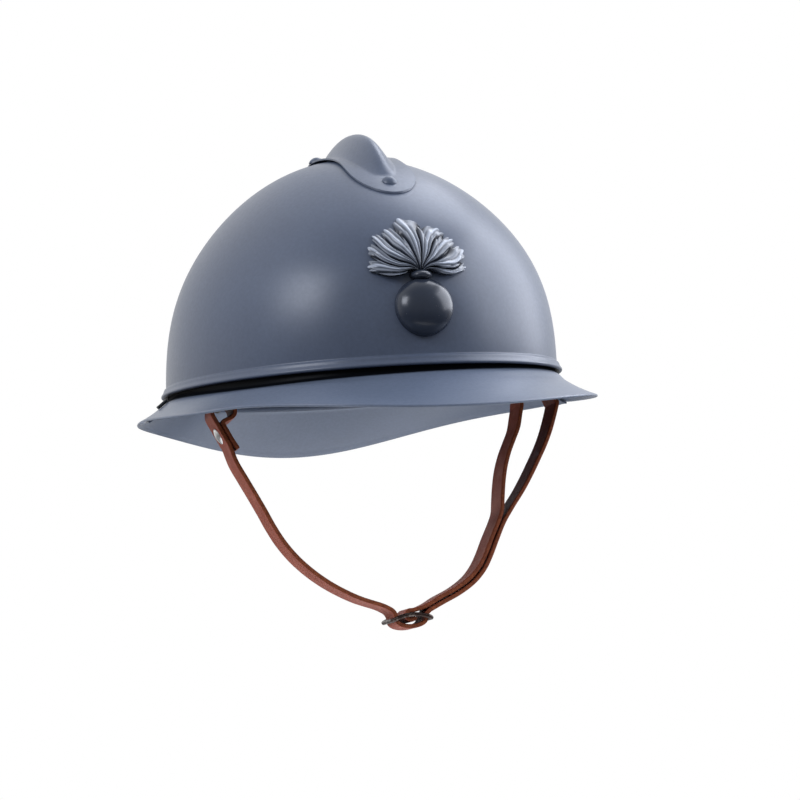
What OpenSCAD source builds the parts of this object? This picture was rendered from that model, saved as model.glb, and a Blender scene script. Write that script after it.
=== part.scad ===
// Steel helmet of the 1915 pattern: a pressed bowl with a rolled rim, a front visor and a
// neck guard joined at the sides, a hollow comb riveted over the vent slot, a stamped badge,
// a leather liner on corrugated spacers, and a chin strap that swings on two riveted lugs.
// Millimetres. The rim of the bowl lies in the plane z = 0, the front looks along -Y,
// and the wearer's left is +X.

/* [Bowl] */
// Width of the bowl outside, at its rim
bowl_w = 190; // [186:1:196]
// Length of the bowl outside, at its rim
bowl_l = 226.5; // [222:0.5:232]
// Height of the dome above the rim
dome_h = 112.5; // [108:0.5:117]
// Exponent of the dome's side profile, 2 for a plain ellipse
dome_fullness = 2; // [1.9:0.05:2.1]
// Extra fullness of the dome at half its height, as a share of its width
dome_bulge = 0.022; // [0:0.002:0.03]
// How far the dome swells forward at half its height
dome_swell = 3.9; // [2:0.1:5]
// Thickness of the steel sheet
sheet = 0.8; // [0.7:0.05:0.9]
// Height of the rolled rim above its lower edge
roll_h = 6; // [5:0.5:7]
// How far the rolled rim stands out from the wall
roll_out = 2.5; // [2:0.1:3]

/* [Visor and neck guard] */
// Reach of the visor in front of the bowl wall
visor_reach = 39; // [34:1:44]
// Reach of the neck guard behind the bowl wall
nape_reach = 33; // [28:1:38]
// Reach of the brim at the side seams
side_reach = 12.8; // [11:0.1:14]
// Drop of the visor's edge below the rim, in front
visor_drop = 20.8; // [17:0.1:25]
// Drop of the neck guard's edge below the rim, behind
nape_drop = 26; // [22:1:29]
// Drop of the brim's edge at the side seams
side_drop = 10.9; // [9.5:0.1:12.5]
// How far the visor's edge is bent up at the wearer's right, by wear
visor_lift = 2.5; // [0:0.1:3]
// Hollow of the brim's slope, 0 for a straight slope
brim_flare = 0.3; // [0.1:0.05:0.4]
// Height of the collar that stands inside the bowl
collar_h = 6; // [5:0.5:7]
// Angle of each seam from the front
seam_angle = 90; // [88:0.5:92]
// Width of the lap at each seam, in degrees
seam_lap = 5; // [4:0.5:6]
// Gap between pieces that seat on each other
seat_gap = 0.2; // [0.15:0.05:0.25]

/* [Comb] */
// Front end of the comb, measured forward from the middle
comb_front = 82.5; // [78:0.5:85]
// Rear end of the comb, measured back from the middle
comb_rear = 70; // [64:1:74]
// Width of the comb's flanges
comb_w = 38; // [34:1:42]
// Width of the hump at its foot
hump_w = 24; // [22:1:28]
// Height of the hump above the dome
hump_h = 11; // [9:0.5:13]
// Gap under the flanges where the air comes out
vent_lift = 1.1; // [0.6:0.1:1.6]
// Length of the vent slot under the comb
vent_l = 44; // [36:1:50]
// Width of the vent slot
vent_w = 5; // [4:0.5:7]
// Diameter of the comb's rivets
comb_rivet_d = 3.2; // [2.8:0.1:3.6]
// Diameter of their heads
comb_head_d = 7; // [6:0.5:8]

/* [Badge] */
// Height of the ball's centre above the rim
ball_z = 25.4; // [24:0.2:28]
// Diameter of the ball
ball_d = 26; // [24:0.5:28]
// How far the ball stands out from the bowl
ball_relief = 8; // [6:0.5:9]
// Height of the flame above the ball
flame_h = 32; // [27:0.5:33]
// Half width of the flame
flame_w = 24; // [21:1:26]
// How far the flame stands out from the bowl
flame_relief = 5; // [4:0.5:6]

/* [Liner] */
// Height of the liner's lower edge above the rim
liner_z = 9.5; // [9:0.5:11]
// Height of the band
band_h = 23; // [20:1:25]
// Depth of the corrugated spacers
spacer_depth = 4.4; // [4:0.1:5]
// Thickness of the felt band
felt_t = 1.6; // [1.2:0.1:2]
// Thickness of the liner leather
leather_t = 1.3; // [1:0.1:1.6]
// Number of tongues that make the crown
tongues = 7; // [5:1:9]
// Diameter of the drawn lace
lace_d = 2.4; // [2:0.1:2.8]

/* [Chin strap] */
// Width of the strap
strap_w = 15.5; // [14:0.5:16]
// Thickness of the strap
strap_t = 2; // [1.8:0.1:2.1]
// Forward lean of the hanging strap, in degrees
strap_lean = 6; // [2:1:14]
// Height of the lug rivets above the rim
lug_z = 2.5; // [2:0.1:3]
// Distance of the lug rivets in front of the middle
lug_forward = 34; // [31:0.5:36]
// How far the lugs stand in from the visor's collar
lug_stand = 3.1; // [2.9:0.1:3.5]
// Diameter of the lug rivets
lug_rivet_d = 3.2; // [3:0.1:3.4]
// Diameter of the bail wire
bail_wire = 2.5; // [2.2:0.1:2.6]
// Radial clearance of the running pins
pin_gap = 0.06; // [0.03:0.01:0.09]
// Diameter of the strap rivet's head
stud_d = 8; // [7:0.5:8.5]
// Length of the strap slider
slider_l = 21.6; // [20.8:0.2:24]

/* [Hidden] */

// Colours of the finishes
shell_blue = "#6f7a88";
iron = "#3b3f44";
nickel = "#c9cbcc";
aluminium = "#b4b6b8";
black_leather = "#2b2523";
grey_wool = "#5d5f63";
tan_leather = "#9a5646";
lace_colour = "#8a7a63";

// Half axes of the rim, and the facets around it
rim_x = bowl_w / 2;
rim_y = bowl_l / 2;
around = 64;

// Fullness of the section at a height
function fullness(z) = z <= 0 || z >= dome_h ? 1 : 1 + dome_bulge * pow(sin(180 * z / dome_h), 2);
// Share of the rim's half axes that is left at a height on the dome
function share(z) = z <= 0 ? 1 : z >= dome_h ? 0 : sqrt(1 - pow(z / dome_h, dome_fullness)) * fullness(z);
// Forward shift of the section at a height
function swell(z) = z <= 0 ? 0 : -dome_swell * sin(180 * z / dome_h);
// A point at an angle from the front, at a height and an offset out from the wall
function wall(angle, z, out) = [
  (rim_x * share(z) + out) * sin(angle),
  -(rim_y * share(z) + out) * cos(angle) + swell(z),
  z];
// Height of the dome, grown by an amount, over a point of the plan, closed in on in a few tries
function crown_z(x, y, grow, z = dome_h, tries = 5) = tries == 0 ? z :
  crown_z(x, y, grow, (dome_h + grow) * pow(max(0, 1 - (pow(x / (rim_x + grow), 2)
    + pow((y - swell(z)) / (rim_y + grow), 2)) / pow(fullness(z), 2)), 1 / dome_fullness), tries - 1);

// Two triangles of a four-sided facet
function quad(a, b, c, d) = [[a, b, c], [a, c, d]];
function flat(rows) = [for (row = rows) each row];

// A solid sheet between two grids of points, rows along the run and columns across it
module skin(top, bottom, ring = false) {
  rows = len(top);
  cols = len(top[0]);
  runs = ring ? rows : rows - 1;
  s = rows * cols;
  function at(i, j) = (i % rows) * cols + j;
  polyhedron(concat(flat(top), flat(bottom)), concat(
    [for (i = [0:runs - 1], j = [0:cols - 2]) each
      quad(at(i + 1, j), at(i + 1, j + 1), at(i, j + 1), at(i, j))],
    [for (i = [0:runs - 1], j = [0:cols - 2]) each
      quad(s + at(i, j), s + at(i, j + 1), s + at(i + 1, j + 1), s + at(i + 1, j))],
    [for (i = [0:runs - 1]) each quad(s + at(i, 0), s + at(i + 1, 0), at(i + 1, 0), at(i, 0))],
    [for (i = [0:runs - 1]) each
      quad(at(i, cols - 1), at(i + 1, cols - 1), s + at(i + 1, cols - 1), s + at(i, cols - 1))],
    ring ? [] : [for (j = [0:cols - 2]) each
      quad(at(0, j), at(0, j + 1), s + at(0, j + 1), s + at(0, j))],
    ring ? [] : [for (j = [0:cols - 2]) each
      quad(s + at(rows - 1, j), s + at(rows - 1, j + 1), at(rows - 1, j + 1), at(rows - 1, j))]));
}

// A solid shell between two stacks of closed rings, each closed over by a pole point
module dome(top, bottom, top_pole, bottom_pole) {
  rings = len(top);
  n = len(top[0]);
  s = rings * n;
  function at(j, i) = j * n + i % n;
  polyhedron(concat(flat(top), flat(bottom), [top_pole, bottom_pole]), concat(
    [for (j = [0:rings - 2], i = [0:n - 1]) each
      quad(at(j, i), at(j, i + 1), at(j + 1, i + 1), at(j + 1, i))],
    [for (j = [0:rings - 2], i = [0:n - 1]) each
      quad(s + at(j + 1, i), s + at(j + 1, i + 1), s + at(j, i + 1), s + at(j, i))],
    [for (i = [0:n - 1]) each
      quad(at(rings - 1, i), at(rings - 1, i + 1), s + at(rings - 1, i + 1), s + at(rings - 1, i))],
    [for (i = [0:n - 1]) [2 * s, at(0, i + 1), at(0, i)]],
    [for (i = [0:n - 1]) [2 * s + 1, s + at(0, i), s + at(0, i + 1)]]));
}

// Bowl

// Heights of the rings from the crown down to the roll
ring_count = 12;
dome_rings = [for (i = [0:ring_count - 1]) dome_h * sin(84 - 77.5 * i / (ring_count - 1))];
// The roll's outer profile, as offset and height, from the wall round to its lower edge
roll_low = -0.6;
roll_top = roll_low + roll_h;
roll = [[0, roll_top], [roll_out * 0.36, roll_top - 1.3], [roll_out * 0.76, roll_top - 2.1],
  [roll_out, roll_top - 3.3], [roll_out, 0.8], [roll_out * 0.66, -0.25], [0.5, roll_low]];

module bowl_shell() {
  angles = [for (i = [0:around - 1]) i * 360 / around];
  outer = concat(
    [for (z = dome_rings) [for (a = angles) wall(a, z, 0)]],
    [for (p = roll) [for (a = angles) wall(a, 0, p[0]) + [0, swell(p[1]), p[1]]]]);
  inner = concat(
    [for (z = dome_rings) [for (a = angles) wall(a, z, -sheet) - [0, 0, sheet * z / dome_h]]],
    [for (j = [0:len(roll) - 1]) let (z = roll_top + (roll_low - roll_top) * j / (len(roll) - 1))
      [for (a = angles) wall(a, 0, -sheet) + [0, swell(z), z]]]);
  top = [0, swell(dome_h), dome_h];
  dome(outer, inner, top, top - [0, 0, sheet]);
}

// Rivet places of the comb, across and along it
rivet_inset = 9;
comb_rivets_at = [[0, -comb_front + rivet_inset], [0, comb_rear - rivet_inset], [comb_w * 0.42, -4],
  [-comb_w * 0.42, -4]];

// Stands its children on the dome at a point of the plan, with +Z along the outward normal
module on_dome(x, y, grow = 0) {
  slope_x = crown_z(x + 0.5, y, grow) - crown_z(x - 0.5, y, grow);
  slope_y = crown_z(x, y + 0.5, grow) - crown_z(x, y - 0.5, grow);
  translate([x, y, crown_z(x, y, grow)])
    rotate([0, atan(norm([slope_x, slope_y])), atan2(-slope_y, -slope_x)]) children();
}

// Badge geometry on the front of the bowl: u across, v up from the ball's centre, out from the wall
function badge_z(v) = ball_z + v - 0.0021 * v * v;
function badge_point(u, v, out) =
  let (z = badge_z(v)) wall(asin(u / (rim_x * share(z))), z, out);
// Places of the two prongs, up from the ball's centre, and the way each is bent inside
prong_v = [8, 30];
prong_bend = [1, -1];
prong_w = 5;
prong_t = 0.8;

module bowl() {
  color(shell_blue) difference() {
    bowl_shell();
    // vent slot under the comb
    translate([0, 0, dome_h - 12]) linear_extrude(16) hull() {
      translate([0, -(vent_l - vent_w) / 2]) circle(d = vent_w, $fn = 24);
      translate([0, (vent_l - vent_w) / 2]) circle(d = vent_w, $fn = 24);
    }
    // rivet holes of the comb
    for (p = comb_rivets_at)
      on_dome(p[0], p[1]) translate([0, 0, -4]) cylinder(d = comb_rivet_d + 0.2, h = 8, $fn = 32);
    // slots of the badge's prongs
    for (v = prong_v)
      translate([-prong_w / 2 - 0.4, -rim_y - 6, badge_z(v) - prong_t / 2 - 0.4])
        cube([prong_w + 0.8, 40, prong_t + 0.8]);
  }
}

// Visor and neck guard

// Blend between the side and the front or rear, by angle from the front
function forward(a) = pow(max(0, cos(a)), 2.4);
function backward(a) = pow(max(0, -cos(a)), 1.6);
function edge_out(a) = side_reach + (visor_reach - side_reach) * forward(a)
  + (nape_reach - side_reach) * backward(a);
function edge_z(a) = let (c = max(0, cos(a)))
  -side_drop - (visor_drop - side_drop) * (0.55 * c + 0.45 * pow(c, 8))
  - (nape_drop - side_drop) * pow(max(0, -cos(a)), 6)
  + visor_lift * exp(-pow((a + 41) / (a < -41 ? 11 : 31), 2));
// Upper face of the brim from under the roll, 0, to the edge, 1
brim_start = [0.7, -2.7];
function brim(a, s) = [
  brim_start[0] + (edge_out(a) - brim_start[0]) * s,
  brim_start[1] + (edge_z(a) - brim_start[1]) * (s + brim_flare * s * (1 - s))];
collar_out = -sheet - seat_gap;
steps = [0, 0.2, 0.42, 0.66, 0.88, 1];
// The brim's outer face, from the collar's top to the edge, moved in and down by a lap
function brim_outer(a, lap) = concat(
  [for (p = [[collar_out, collar_h - 1], [collar_out, -0.5], [collar_out + 0.5, -1.4]]) p - [lap, lap]],
  [for (s = steps) brim(a, s) - [lap, lap]]);
// Its inner face, one sheet in, with the hem folded under along the edge
hem = 0.6;
function brim_inner(a, lap) = concat(
  [for (p = [[collar_out - sheet, collar_h - 1], [collar_out - sheet, -0.8],
    [collar_out - 0.1, -2.15]]) p - [lap, lap]],
  [for (s = steps) brim(a, s) - [0.3 * sheet, 1.1 * sheet + (s > 0.8 ? hem : 0)] - [lap, lap]]);
function rim_point(a, p) = wall(a, 0, p[0]) + [0, swell(p[1]), p[1]];

// A length of the brim between two angles; the lap says how far each angle is tucked under
module brim_piece(angles, laps) {
  skin([for (i = [0:len(angles) - 1]) [for (p = brim_outer(angles[i], laps[i])) rim_point(angles[i], p)]],
    [for (i = [0:len(angles) - 1]) [for (p = brim_inner(angles[i], laps[i])) rim_point(angles[i], p)]]);
}

// Angles of the bowl's own facets between two limits, with a little room at each
facet = 360 / around;
function facets(from, to) = [for (i = [-around:2 * around]) if (i * facet > from + 0.8 && i * facet < to - 0.8) i * facet];
visor_half = seam_angle + seam_lap / 2;
module visor() {
  angles = concat([-visor_half], facets(-visor_half, visor_half), [visor_half]);
  color(shell_blue) difference() {
    brim_piece(angles, [for (a = angles) 0]);
    translate([0, -lug_forward, lug_z]) rotate([0, 90, 0])
      cylinder(d = lug_rivet_d + 0.2, h = bowl_w + 10, center = true, $fn = 48);
  }
}

tuck = sheet + seat_gap + 0.1;
module neck_guard() {
  start = seam_angle - seam_lap / 2;
  open = visor_half + 0.8;
  shut = open + 3;
  lapped = facets(start, open);
  free = facets(shut, 360 - shut);
  angles = concat([start], lapped, [open, shut], free, [360 - shut, 360 - open],
    [for (i = [len(lapped) - 1:-1:0]) 360 - lapped[i]], [360 - start]);
  color(shell_blue)
    brim_piece(angles, [for (a = angles) a >= shut && a <= 360 - shut ? 0 : tuck]);
}

// Folded clip that closes a seam just below the roll
clip_l = 5.6;
clip_w = 4;
clip_t = 1.6;
module seam_clip(side) {
  a = seam_angle;
  low = brim(a, 0.4);
  high = brim(a, 0.04);
  slope = atan2(high[1] - low[1], low[0] - high[0]);
  middle = rim_point(a, (low + high) / 2);
  mirror([side < 0 ? 1 : 0, 0, 0]) translate(middle) rotate([0, slope, 0])
    translate([0, 0, seat_gap + clip_t / 2]) rotate([0, 90, 0]) color(iron) hull() {
      for (x = [-1, 1])
        translate([0, x * (clip_w - clip_t) / 2, 0]) cylinder(d = clip_t, h = clip_l, center = true, $fn = 16);
    }
}
module seam_clip_right() seam_clip(-1);
module seam_clip_left() seam_clip(1);

// Comb

comb_rows = 26;
comb_mid = (comb_rear - comb_front) / 2;
comb_half = (comb_rear + comb_front) / 2;
// Place along the comb from -1 at the front tip to 1 at the rear tip
// Half width of the flange, waisted between the side rivets and its two ends
function comb_flange(s) = comb_w / 2 * pow(1 - pow(abs(s), 4.5), 0.5) * (1 - 0.18 * pow(sin(200 * abs(s)), 2));
function hump_half(s) = hump_w / 2 * (1 - 0.55 * pow(abs(s) / 0.8, 3));
function hump_rise(s) = abs(s) >= 0.82 ? 0 : hump_h * cos(90 * pow(abs(s) / 0.82, 3));
// The flange lifts off the dome towards its edges, between the tongues
function flange_lift(s, v) = vent_lift * pow(abs(v), 2) * pow(max(0, cos(100 * s)), 0.8);
function hump_at(s, x) = abs(x) >= hump_half(s) ? 0 : hump_rise(s) * pow(cos(90 * x / hump_half(s)), 1.5);
comb_gap = 0.25;
module comb() {
  stations = [for (i = [0:comb_rows]) -cos(180 * (i + 0.6) / (comb_rows + 1.2))];
  across = [-1, -0.86, -0.71, -0.56, -0.42, -0.28, -0.16, -0.05, 0.05, 0.16, 0.28, 0.42, 0.56, 0.71, 0.86, 1];
  function face(up) = [for (s = stations) [for (v = across)
    let (x = v * comb_flange(s), y = comb_mid + comb_half * s,
      g = comb_gap + flange_lift(s, v) + up)
    [x, y, crown_z(x, y, g) + hump_at(s, x)]]];
  color(shell_blue) difference() {
    skin(face(sheet), face(0));
    for (p = comb_rivets_at)
      on_dome(p[0], p[1]) translate([0, 0, -2]) cylinder(d = comb_rivet_d + 0.2, h = 8, $fn = 32);
  }
}

// Comb rivets: domed head above the flange, shank through both sheets, closed head inside
module comb_rivet(lift) {
  head_h = 1.9;
  ball = (pow(comb_head_d / 2, 2) + pow(head_h, 2)) / (2 * head_h);
  seat = comb_gap + sheet + lift + 0.15;
  translate([0, 0, seat]) intersection() {
    translate([0, 0, head_h - ball]) sphere(r = ball, $fn = 48);
    cylinder(d = comb_head_d + 1, h = head_h + 1, $fn = 48);
  }
  // the closed head keeps clear of the flat facets inside the bowl
  low = -sheet - 0.5;
  translate([0, 0, low - 0.4]) cylinder(d = comb_rivet_d, h = seat + 0.2 - low + 0.4, $fn = 32);
  translate([0, 0, low - 0.9]) cylinder(d = comb_rivet_d + 2, h = 0.9, $fn = 32);
}
module comb_rivets() {
  color(shell_blue) for (p = comb_rivets_at)
    on_dome(p[0], p[1]) comb_rivet(abs(p[0]) > 0 ? vent_lift * 0.85 : 0);
}

// Badge: a bursting grenade, the flame tied in above a bare ball

flame_base = ball_d / 2 + 2.5;
// Length of the flame by its angle from straight up: a pointed tongue every flame_pitch degrees
flame_pitch = 20;
flame_span = 90;
function flame_reach(a) = let (c = min(1, abs(a) / 80), tip = 1 - abs(sin(180 * a / flame_pitch)))
  (flame_h * (1 - c) + flame_w * c) * (0.84 + 0.16 * pow(tip, 0.8));
function flame_ridge(a, r) = 0.5 + 0.5 * cos(360 * a / flame_pitch + 14 * sin(a * 2 + 220 * r));
// Height of the ball's outer face, r from 0 at its centre to 1 at its edge
function ball_height(r) = ball_relief * sqrt(max(0, 1 - r * r)) + 0.9;
function flame_height(a, r) = flame_relief * (0.34 + 0.66 * sin(180 * pow(r, 0.62)))
  * (0.66 + 0.34 * flame_ridge(a, r));
fold = 0.7;
module badge() {
  lift = 0.2;
  levels = [0.1, 0.28, 0.46, 0.64, 0.82, 1];
  fan = [for (i = [0:50]) flame_span * (i / 25 - 1)];
  function flame(drop) = [for (a = fan) [for (r = levels)
    let (l = r * flame_reach(a))
    badge_point(l * sin(a), flame_base + l * cos(a), max(lift + (drop > 0 ? 0 : fold), flame_height(a, r) - drop))]];
  ball_rings = [0.16, 0.34, 0.52, 0.7, 0.86, 0.96, 1];
  turn = [for (i = [0:23]) -i * 15];
  function ball_face(drop) = [for (r = ball_rings) [for (a = turn)
    badge_point(r * ball_d / 2 * sin(a), r * ball_d / 2 * cos(a),
      max(lift + (drop > 0 ? 0 : fold), ball_height(r) - drop))]];
  // collar that ties the flame in
  collar_ring = [0.3, 0.75, 1];
  function collar_face(drop) = [for (r = collar_ring) [for (a = turn)
    badge_point(r * 5 * sin(a), flame_base - 1 + r * 2.6 * cos(a),
      max(lift + (drop > 0 ? 0 : fold), 6.3 * sqrt(max(0, 1 - r * r * 0.96)) - drop))]];
  color(shell_blue) union() {
    skin(flame(fold), flame(0));
    dome(ball_face(0), ball_face(fold), badge_point(0, 0, ball_height(0)),
      badge_point(0, 0, ball_height(0) - fold));
    dome(collar_face(0), collar_face(fold), badge_point(0, flame_base - 1, 6.3),
      badge_point(0, flame_base - 1, 6.3 - fold));
  }
}

// Prongs soldered behind the badge, through the bowl and bent along it inside, one up and one down
module badge_prongs() {
  leaf = 8;
  color(iron) for (i = [0, 1]) {
    v = prong_v[i];
    z = badge_z(v);
    outside = i == 0 ? ball_height(2 * v / ball_d) - fold - 0.6 : flame_relief * 0.4;
    y_out = wall(0, z, outside)[1];
    y_in = wall(0, z, -sheet - 0.8)[1];
    lean = atan2(wall(0, z + prong_bend[i] * leaf, 0)[1] - wall(0, z, 0)[1], leaf);
    translate([-prong_w / 2, y_out, z - prong_t / 2]) cube([prong_w, y_in - y_out + prong_t, prong_t]);
    translate([-prong_w / 2, y_in, z]) rotate([-lean * prong_bend[i], 0, 0])
      translate([0, 0, min(0, prong_bend[i] * leaf)]) cube([prong_w, prong_t, leaf]);
  }
}

// Liner

// Offsets from the bowl wall, stacked inwards
spacer_out = -sheet - 0.45;
felt_out = spacer_out - spacer_depth - seat_gap;
leather_out = felt_out - felt_t - seat_gap;

// A band on the inside of the bowl between two offsets and two heights
module band(outer, inner, z0, z1, angles, ring = false) {
  levels = [0, 0.5, 1];
  skin([for (a = angles) [for (l = levels) wall(a, z0 + (z1 - z0) * (1 - l), outer)]],
    [for (a = angles) [for (l = levels) wall(a, z0 + (z1 - z0) * (1 - l), inner)]], ring);
}

// Corrugated spacer of aluminium sheet, centred on an angle
spacer_span = 30;
spacer_waves = 6;
foil = 0.5;
module spacer(angle) {
  cells = spacer_waves * 4;
  z0 = liner_z + 1.5;
  z1 = liner_z + band_h - 2;
  function wave(i) = let (w = sin(360 * spacer_waves * i / cells + 45)) (spacer_depth - foil) / 2 * (1 - w / 0.7072);
  function face(shift) = [for (i = [0:cells]) let (a = angle + spacer_span * (i / cells - 0.5))
    [for (z = [z1, (z0 + z1) / 2, z0]) wall(a, z, spacer_out - wave(i) - shift)]];
  color(aluminium) skin(face(0), face(foil));
}
module spacer_front() spacer(0);
module spacer_rear() spacer(180);
module spacer_right() spacer(-90);
module spacer_left() spacer(90);

full_turn = [for (i = [0:55]) i * 360 / 56];
module felt_band() {
  color(grey_wool) band(felt_out, felt_out - felt_t, liner_z, liner_z + band_h, full_turn, true);
}

// Path of a tongue from the band to the lace, which it is folded round
lace_ring = 21;
lace_z = 80;
eye_r = lace_d / 2 + 0.15;
band_top = liner_z + band_h;
lace_mid = swell(lace_z);
function bend(p0, p1, p2, q) = p0 * (1 - q) * (1 - q) + p1 * 2 * q * (1 - q) + p2 * q * q;
// A point of a tongue's sheet, q from 0 at the root to 1 over the lace, t deep in the leather
function tongue_point(a, q, t) =
  let (root = wall(a, band_top - 3, leather_out), up = [sin(a), -cos(a), 0],
    tip = [0, lace_mid, lace_z + eye_r + leather_t] + up * lace_ring,
    inward = up * (1 - q) + [0, 0, q])
  bend(root - up * 0.35, [root[0] * 0.97, root[1] * 0.97, tip[2] - 5], tip, q) - inward / norm(inward) * t;
// A point of the fold, at an angle round the lace
function fold_point(a, turn, t) =
  [0, lace_mid, lace_z] + [sin(a), -cos(a), 0] * (lace_ring - (eye_r + leather_t - t) * sin(turn))
  + [0, 0, (eye_r + leather_t - t) * cos(turn)];
// Half width of a tongue, as a share of its pitch
function tongue_half(q) = 0.44 - 0.065 * sqrt(q) - 0.09 * q;

// One piece of leather: a band, and tongues that close over the head
module liner() {
  pitch = 360 / tongues;
  cols = [-1, -0.6, -0.2, 0.2, 0.6, 1];
  rise = [0, 0.16, 0.34, 0.54, 0.77, 1];
  turns = [60, 120, 180, 240];
  function lobe(centre, t) = [for (c = cols) concat(
    [for (q = rise) tongue_point(centre + pitch * c * tongue_half(q), q, t)],
    [for (turn = turns) fold_point(centre + pitch * c * tongue_half(1), turn, t)])];
  color(black_leather) {
    band(leather_out, leather_out - leather_t, liner_z, band_top, full_turn, true);
    for (k = [0:tongues - 1]) skin(lobe(k * pitch, leather_t - 0.5), lobe(k * pitch, 0));
  }
}

// Lace drawn through the folds of the tongues
module liner_lace() {
  color(lace_colour) translate([0, lace_mid, lace_z])
    rotate_extrude($fn = 64) translate([lace_ring, 0]) circle(d = lace_d, $fn = 16);
}

// Tabs soldered inside the bowl, in the gaps between tongues, that fold over the band and hold it
tab_t = 0.8;
tab_w = 7;
tab_up = 7;
tab_down = 9;
clip_at = [for (q = [0.5, 2.5, 4.5, 6.5]) (floor(q * tongues / 7) + 0.5) * 360 / tongues];
module liner_clips() {
  top = band_top + 0.5;
  out = -sheet - 0.5;
  inside = leather_out - leather_t - 0.6;
  // the two faces of the tab, from the wall, in over the band and down inside it
  outer = [[out, top + tab_up], [out, top + 0.5], [out - 0.5, top], [inside + 0.5, top],
    [inside, top - 0.5], [inside, top - tab_down]];
  inner = [[out - tab_t, top + tab_up], [out - tab_t, top + tab_t + 0.3], [out - tab_t - 0.3, top + tab_t],
    [inside - tab_t + 0.8, top + tab_t], [inside - tab_t, top + tab_t - 0.8], [inside - tab_t, top - tab_down]];
  spread = tab_w / (rim_x + rim_y) * 180 / PI;
  function face(a, line) = [for (i = [-1, 0, 1]) [for (p = line) wall(a + i * spread, p[1], p[0])]];
  color(aluminium) for (a = clip_at) skin(face(a, outer), face(a, inner));
}

// Chin strap. Its frame has its origin on the rivets' axis, X across, Z down the hanging strap

module strap_frame() {
  translate([0, -lug_forward, lug_z]) rotate([-strap_lean, 0, 0]) children();
}

// The lug plate's inner and outer faces, and the barrel that holds the bail
lug_t = 1.2;
lug_w = 10;
// Distance out to a face of the collar, beside the rivet
function collar_x(out) = (rim_x + out) * sqrt(1 - pow(lug_forward / (rim_y + out), 2));
lug_in = collar_x(collar_out - sheet) - lug_stand - lug_t;
barrel = [lug_in - 1.4, -5.5];
wire_r = bail_wire / 2;
barrel_r = wire_r + 0.85;
// The bail's lower bar, in which the strap hangs
bar = [lug_in - 6.9, -12.2];

module lug() {
  color(iron) difference() {
    union() {
      translate([lug_in, 0, 0]) rotate([0, 90, 0]) cylinder(d = lug_w, h = lug_t, $fn = 48);
      translate([lug_in, -lug_w / 2, barrel[1]]) cube([lug_t, lug_w, -barrel[1]]);
      translate([barrel[0], 0, barrel[1]]) rotate([90, 0, 0])
        cylinder(r = barrel_r, h = lug_w, center = true, $fn = 48);
    }
    translate([lug_in - 1, 0, 0]) rotate([0, 90, 0])
      cylinder(r = lug_rivet_d / 2 + pin_gap, h = lug_t + 2, $fn = 48);
    translate([barrel[0], 0, barrel[1]]) rotate([90, 0, 0])
      cylinder(r = wire_r + pin_gap, h = lug_w + 2, center = true, $fn = 48);
  }
}
module lug_left() strap_frame() lug();
module lug_right() strap_frame() mirror([1, 0, 0]) lug();

// Rivet on which a lug swivels: head inside, shoulder, and a shank through the collar
module lug_rivet() {
  head_t = 0.9;
  shoulder_x = lug_in + lug_t + 0.1;
  back = lug_in - 0.1;
  translate([0, -lug_forward, lug_z]) rotate([0, 90, 0]) color(iron) {
    translate([0, 0, back - head_t]) cylinder(d = lug_rivet_d + 2.6, h = head_t, $fn = 48);
    translate([0, 0, back - head_t / 2]) cylinder(d = lug_rivet_d, h = collar_x(collar_out) - 0.35 - back + head_t / 2, $fn = 48);
    translate([0, 0, shoulder_x]) cylinder(d = lug_rivet_d + 2, h = lug_stand - 1.3, $fn = 48);
  }
}
module lug_rivet_left() lug_rivet();
module lug_rivet_right() mirror([1, 0, 0]) lug_rivet();

// Bail: a rectangular ring of wire with round corners, hung in the barrel
bail_half = strap_w / 2 + 0.5 + wire_r;
module bail() {
  reach = norm(bar - barrel);
  corner = 2.6;
  swing = atan2(barrel[0] - bar[0], barrel[1] - bar[1]);
  color(iron) translate([barrel[0], 0, barrel[1]]) rotate([0, swing, 0]) {
    for (z = [0, -reach])
      translate([0, 0, z]) rotate([90, 0, 0])
        cylinder(r = wire_r, h = 2 * (bail_half - corner), center = true, $fn = 32);
    for (y = [-1, 1])
      translate([0, y * bail_half, -reach + corner]) cylinder(r = wire_r, h = reach - 2 * corner, $fn = 32);
    for (y = [-1, 1], up = [0, 1])
      translate([0, y * (bail_half - corner), up ? -corner : -reach + corner]) rotate([0, -90, 0])
        rotate(y > 0 ? (up ? 0 : 90) : (up ? -90 : 180))
          rotate_extrude(angle = 90, $fn = 32) translate([corner, 0]) circle(r = wire_r, $fn = 32);
  }
}
module bail_left() strap_frame() bail();
module bail_right() strap_frame() mirror([1, 0, 0]) bail();

// Middle line of the strap, seen from the front: right tail, right bail, chin, left bail, slider
strap_hang = 0.2;
crown_z0 = bar[1] + wire_r + strap_hang + strap_t / 2;
right_r = 5.4;
left_r = 9.1;
stud_lean = 26;
stud_drop = 8.5;
layer = strap_t + 0.25;
along = [sin(stud_lean), -cos(stud_lean)];
aside = [cos(stud_lean), sin(stud_lean)];
right_mid = [-bar[0], crown_z0 - right_r];
stud_at = right_mid - aside * right_r + along * stud_drop;
inner_stud = stud_at + layer * aside;
// The slider: its middle, the radius of its bars, their places and how far the strap bends round them
slider_x = 3.2;
slider_bar = 1;
bar_drop = -114.8;
end_low = bar_drop - 2;
end_bar = slider_l / 2 - 1.3;
wrap = slider_bar + 0.4 + strap_t / 2;
loose_drop = 3.2;
// Points drawn for lugs this far out, moved in or out with the lugs
drawn_lug_in = 84.46;
function hang(points) = [for (p = points) [p[0] * lug_in / drawn_lug_in, p[1]]];
function arc(centre, r, from, to, n) =
  [for (i = [0:n]) let (a = from + (to - from) * i / n) centre + r * [cos(a), sin(a)]];
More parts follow.
